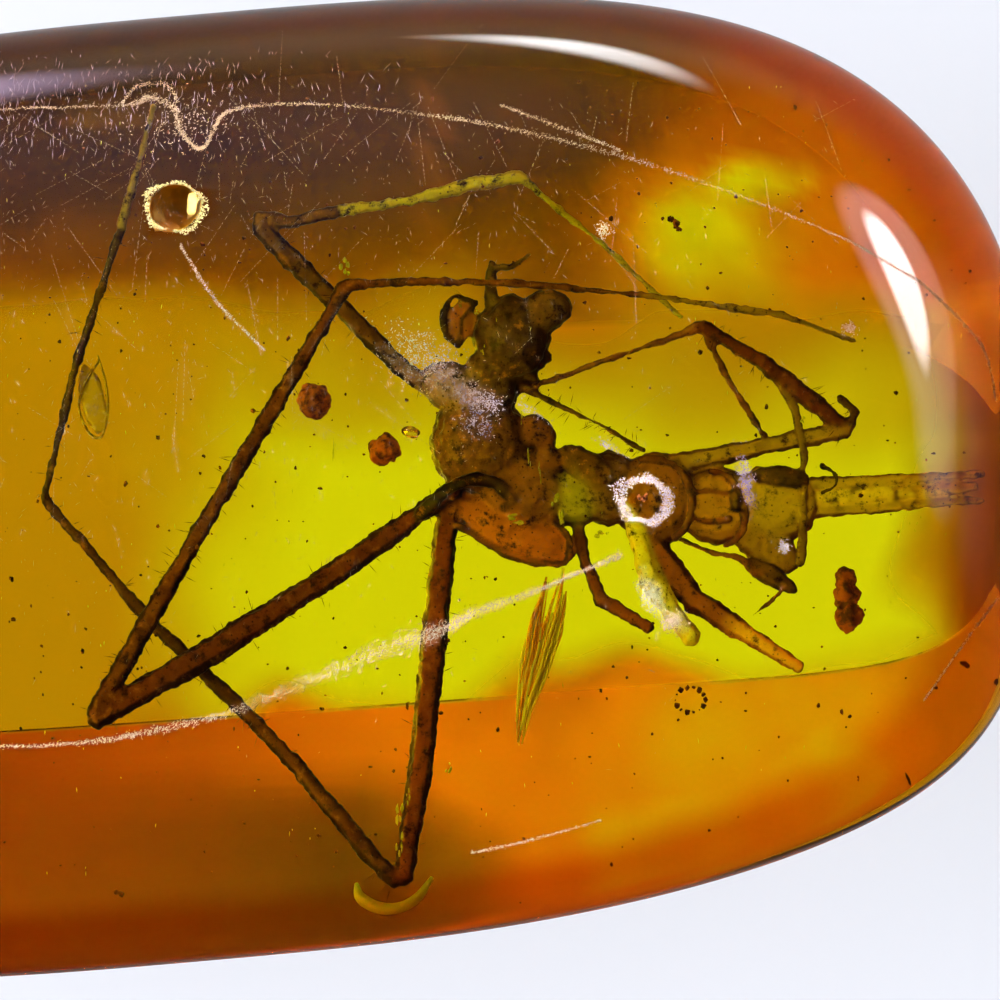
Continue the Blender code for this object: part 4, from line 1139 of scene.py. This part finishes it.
class AMBER_OT_specks(bpy.types.Operator):
    """Scatters dark specks, and bright flakes as painted glints, through the amber"""

    bl_idname = "amber.specks"
    bl_label = "Specks and glints"

    def execute(self, context):
        settings = context.scene.amber_marks
        form = StoneForm(context.scene.amber_stone)
        dark, bright = Shards(settings.seed + 1), Shards(settings.seed + 2)
        for _ in range(settings.specks):
            place = self.inside(dark.draw, form)
            size = dark.draw.choice((0.02, 0.022, 0.025, 0.03, 0.03, 0.04, 0.055)) * dark.draw.uniform(0.7, 1.2)
            dark.grain(place, size, 0.4, (1, dark.draw.uniform(0.5, 1.4), 0.7))
        for x, y, z, size, wide in CRUMBS:
            for _ in range(9):
                middle = Vector((x, y, z)) + Vector(dark.draw.gauss(0, 0.4) * reach for reach in (size * wide, size, 0.1))
                dark.grain(middle, size * dark.draw.uniform(0.3, 0.55), 0.4)
        for i in range(SPECK_RING_COUNT):
            turn = 2 * math.pi * i / SPECK_RING_COUNT
            place = Vector((11.97 + 0.36 * math.cos(turn), -5.21 + 0.28 * math.sin(turn), 7.0))
            dark.grain(place, dark.draw.uniform(0.02, 0.075), 0.5)
        # Painted glints: bright yellow splinters standing in for sparkles of light in the amber.
        for _ in range(settings.glints):
            place = self.inside(bright.draw, form)
            across = Vector((1, 0, bright.draw.uniform(-0.5, 0.5))).normalized()
            along = Vector((bright.draw.gauss(0, 0.15), 1, 0)).normalized()
            bright.lozenge(place, along, across, bright.draw.uniform(0.03, 0.14), 0.02, 0.01)
        for x, y, z, half_x, half_y in GLINTS:
            for _ in range(5):
                spot = Vector((x + bright.draw.gauss(0, half_x * 0.5), y + bright.draw.gauss(0, half_y * 0.5), z))
                size = bright.draw.uniform(0.2, 0.45)
                bright.grain(spot, 1.0, 0.3, (half_x * size, half_y * size, 0.03))
        specks = grain_material("wood_dust", "#5A2A08", "#2A1206", 0.7)
        link_mesh("dust_specks", dark.mesh("dust_specks"), specks)
        glints = grain_material("painted_glint_flakes", "#C8D010", "#F4F080", 0.2, 0.5)
        link_mesh("painted_glint_specks", bright.mesh("painted_glint_specks"), glints)
        return {"FINISHED"}

    def inside(self, draw, form):
        """A place in the stone, well inside its skin."""
        while True:
            x, y = draw.uniform(-18, 18.5), draw.uniform(-9.5, 9.5)
            reach = (abs(x) / 19.3) ** PLAN_POWER + (abs(y - midline(x, MIDLINE_BEND, form.half_length)) / 10.4) ** PLAN_POWER
            if reach < 1:
                floor = 7.2 * max(0.0, (abs(y) - 3.0) / 9.0) + 0.6
                return Vector((x, y, draw.uniform(floor, form.dome_height(x, y) - 0.5)))


# The camera looks down on the dome, a little from the front.
CAMERA_TARGET = (7.5, -0.43, 7.5)
CAMERA_ELEVATION = 80.0
CAMERA_DISTANCE = 300.0
VIEW_WIDTH = 25.0

# Bright panels of the studio that the dome mirrors: azimuth, elevation, half width and half height in
# degrees, roll, brightness, colour, share of the way to the middle that the edge fades over, and how much
# of the light one end lacks.
PANELS = [
    (182.0, 23.0, 30.0, 17.0, 0.0, 110.0, "#FFFFFF", 0.3, 0.0),
    (99.0, 36.0, 24.0, 30.0, 0.0, 0.65, "#C4B2E6", 1.0, 0.0),
    (13.0, 19.0, 20.0, 14.0, 0.0, 1.7, "#CDB4E0", 1.0, 0.0),
    (82.0, 10.5, 17.0, 3.4, 128.0, 24.0, "#FFFFFF", 0.7, -0.85),
    (100.5, 8.0, 5.5, 11.0, 0.0, 7.5, "#CFC0EC", 0.8, 0.0),
    (28.5, 36.0, 11.0, 4.4, -8.0, 22.0, "#FFFFFF", 0.3, 0.25),
    (27.5, 34.0, 17.0, 10.5, 0.0, 4.2, "#D9C8E6", 0.25, 0.45),
]


def direction(azimuth, elevation):
    turn, lift = math.radians(azimuth), math.radians(elevation)
    return Vector((math.cos(turn) * math.cos(lift), math.sin(turn) * math.cos(lift), math.sin(lift)))


def panel_glow(tree, place, azimuth, elevation, half_width, half_height, roll, brightness, code, fade, lean):
    """The light of one oval panel of the studio, as a colour over directions."""
    ahead = direction(azimuth, elevation)
    side = Vector((0, 0, 1)).cross(ahead).normalized()
    rise = ahead.cross(side)
    spin = math.radians(roll)
    across = side * math.cos(spin) + rise * math.sin(spin)
    upward = rise * math.cos(spin) - side * math.sin(spin)
    parts = []
    for axis, half in ((across, half_width), (upward, half_height), (ahead, 45.0)):
        scaled = axis / math.tan(math.radians(half))
        parts.append(add(tree, "ShaderNodeVectorMath", {1: scaled}, {0: place}, operation="DOT_PRODUCT").outputs["Value"])
    forward = math_node(tree, "MAXIMUM", parts[2], 0.01)
    along, height = (math_node(tree, "DIVIDE", part, forward) for part in parts[:2])
    spot = add(tree, "ShaderNodeCombineXYZ", links={"X": along, "Y": height})
    reach = add(tree, "ShaderNodeVectorMath", links={0: spot.outputs["Vector"]}, operation="LENGTH")
    soft = smooth_step(tree, reach.outputs["Value"], 1.0, 1.0 - fade)
    ramp = math_node(tree, "MULTIPLY_ADD", along, lean / 2)
    ramp.node.inputs[2].default_value = 1 - abs(lean) / 2
    level = math_node(tree, "MULTIPLY", math_node(tree, "MULTIPLY", soft, ramp), brightness)
    tint = {0: linear(code)[:3]}
    return add(tree, "ShaderNodeVectorMath", tint, {"Scale": level}, operation="SCALE").outputs["Vector"]


class AMBER_OT_stage(bpy.types.Operator):
    """Makes the pale table, the studio light and the camera"""

    bl_idname = "amber.stage"
    bl_label = "Stage"

    def execute(self, context):
        settings = context.scene.amber_light
        scene = context.scene
        builder = bmesh.new()
        bmesh.ops.create_grid(builder, x_segments=1, y_segments=1, size=3.0)
        mesh = bpy.data.meshes.new("table")
        builder.to_mesh(mesh)
        builder.free()
        table = bpy.data.objects.new("table", mesh)
        table.location.z = -0.05 * MM
        scene.collection.objects.link(table)
        table.visible_glossy = False
        material, tree, shader, _ = new_material("opal_acrylic_table")
        shader.inputs["Base Color"].default_value = linear("#26262C")
        shader.inputs["Roughness"].default_value = 0.9
        shader.inputs["Emission Color"].default_value = linear("#F3F6FF")
        shader.inputs["Emission Strength"].default_value = settings.table_glow
        material.cycles.emission_sampling = "NONE"
        mesh.materials.append(material)
        world = bpy.data.worlds.new("studio")
        scene.world = world
        world.use_nodes = True
        world.cycles.sampling_method = "NONE"
        tree = world.node_tree
        place = add(tree, "ShaderNodeTexCoord")
        axes = add(tree, "ShaderNodeSeparateXYZ", links={"Vector": place.outputs["Generated"]})
        up = smooth_step(tree, axes.outputs["Z"], 0.0, 0.35)
        front = smooth_step(tree, axes.outputs["Y"], 0.2, -0.5)
        dim = math_node(tree, "MAXIMUM", up, front)
        strength = add(tree, "ShaderNodeMix", {2: settings.horizon, 3: settings.zenith}, {0: dim}, data_type="FLOAT")
        back = tree.nodes["Background"]
        wall = {0: linear("#F4F5FB")[:3]}
        glow = add(tree, "ShaderNodeVectorMath", wall, {"Scale": strength.outputs["Result"]}, operation="SCALE")
        for panel in PANELS:
            more = panel_glow(tree, place.outputs["Generated"], *panel)
            glow = add(tree, "ShaderNodeVectorMath", links={0: glow.outputs["Vector"], 1: more}, operation="ADD")
        tree.links.new(glow.outputs["Vector"], back.inputs["Color"])
        camera = bpy.data.objects.new("camera", bpy.data.cameras.new("camera"))
        scene.collection.objects.link(camera)
        lift = math.radians(CAMERA_ELEVATION)
        away = Vector((0.0, -math.cos(lift), math.sin(lift)))
        camera.location = (Vector(CAMERA_TARGET) + away * CAMERA_DISTANCE) * MM
        camera.rotation_euler = (-away).to_track_quat("-Z", "Y").to_euler()
        camera.data.sensor_width = 36.0
        camera.data.lens = camera.data.sensor_width * CAMERA_DISTANCE / VIEW_WIDTH
        camera.data.clip_start = 0.01
        camera.data.clip_end = 20.0
        scene.camera = camera
        scene.view_settings.view_transform = "Standard"
        scene.cycles.max_bounces = 12
        scene.cycles.transmission_bounces = 12
        scene.cycles.glossy_bounces = 8
        scene.cycles.diffuse_bounces = 3
        return {"FINISHED"}


class AMBER_PT_panel(bpy.types.Panel):
    """Lists the nugget's steps"""

    bl_idname = "AMBER_PT_panel"
    bl_label = "Amber nugget"
    bl_space_type = "VIEW_3D"
    bl_region_type = "UI"
    bl_category = "Amber"

    def draw(self, context):
        for operator in OPERATORS:
            self.layout.operator(operator.bl_idname)


SETTINGS = {
    "amber_stone": AMBER_PG_stone,
    "amber_insect": AMBER_PG_insect,
    "amber_marks": AMBER_PG_marks,
    "amber_light": AMBER_PG_light,
}
OPERATORS = (
    AMBER_OT_stone,
    AMBER_OT_insect,
    AMBER_OT_bristles,
    AMBER_OT_plant,
    AMBER_OT_grains,
    AMBER_OT_seams,
    AMBER_OT_specks,
    AMBER_OT_stage,
)


def register():
    for group in (*SETTINGS.values(), *OPERATORS, AMBER_PT_panel):
        bpy.utils.register_class(group)
    for name, group in SETTINGS.items():
        setattr(bpy.types.Scene, name, PointerProperty(type=group))


def unregister():
    for name in SETTINGS:
        delattr(bpy.types.Scene, name)
    for group in (AMBER_PT_panel, *reversed(OPERATORS), *SETTINGS.values()):
        bpy.utils.unregister_class(group)


def main():
    register()
    bpy.ops.amber.stone()
    bpy.ops.amber.insect()
    bpy.ops.amber.bristles()
    bpy.ops.amber.plant()
    bpy.ops.amber.grains()
    bpy.ops.amber.seams()
    bpy.ops.amber.specks()
    bpy.ops.amber.stage()


if __name__ == "__main__":
    main()
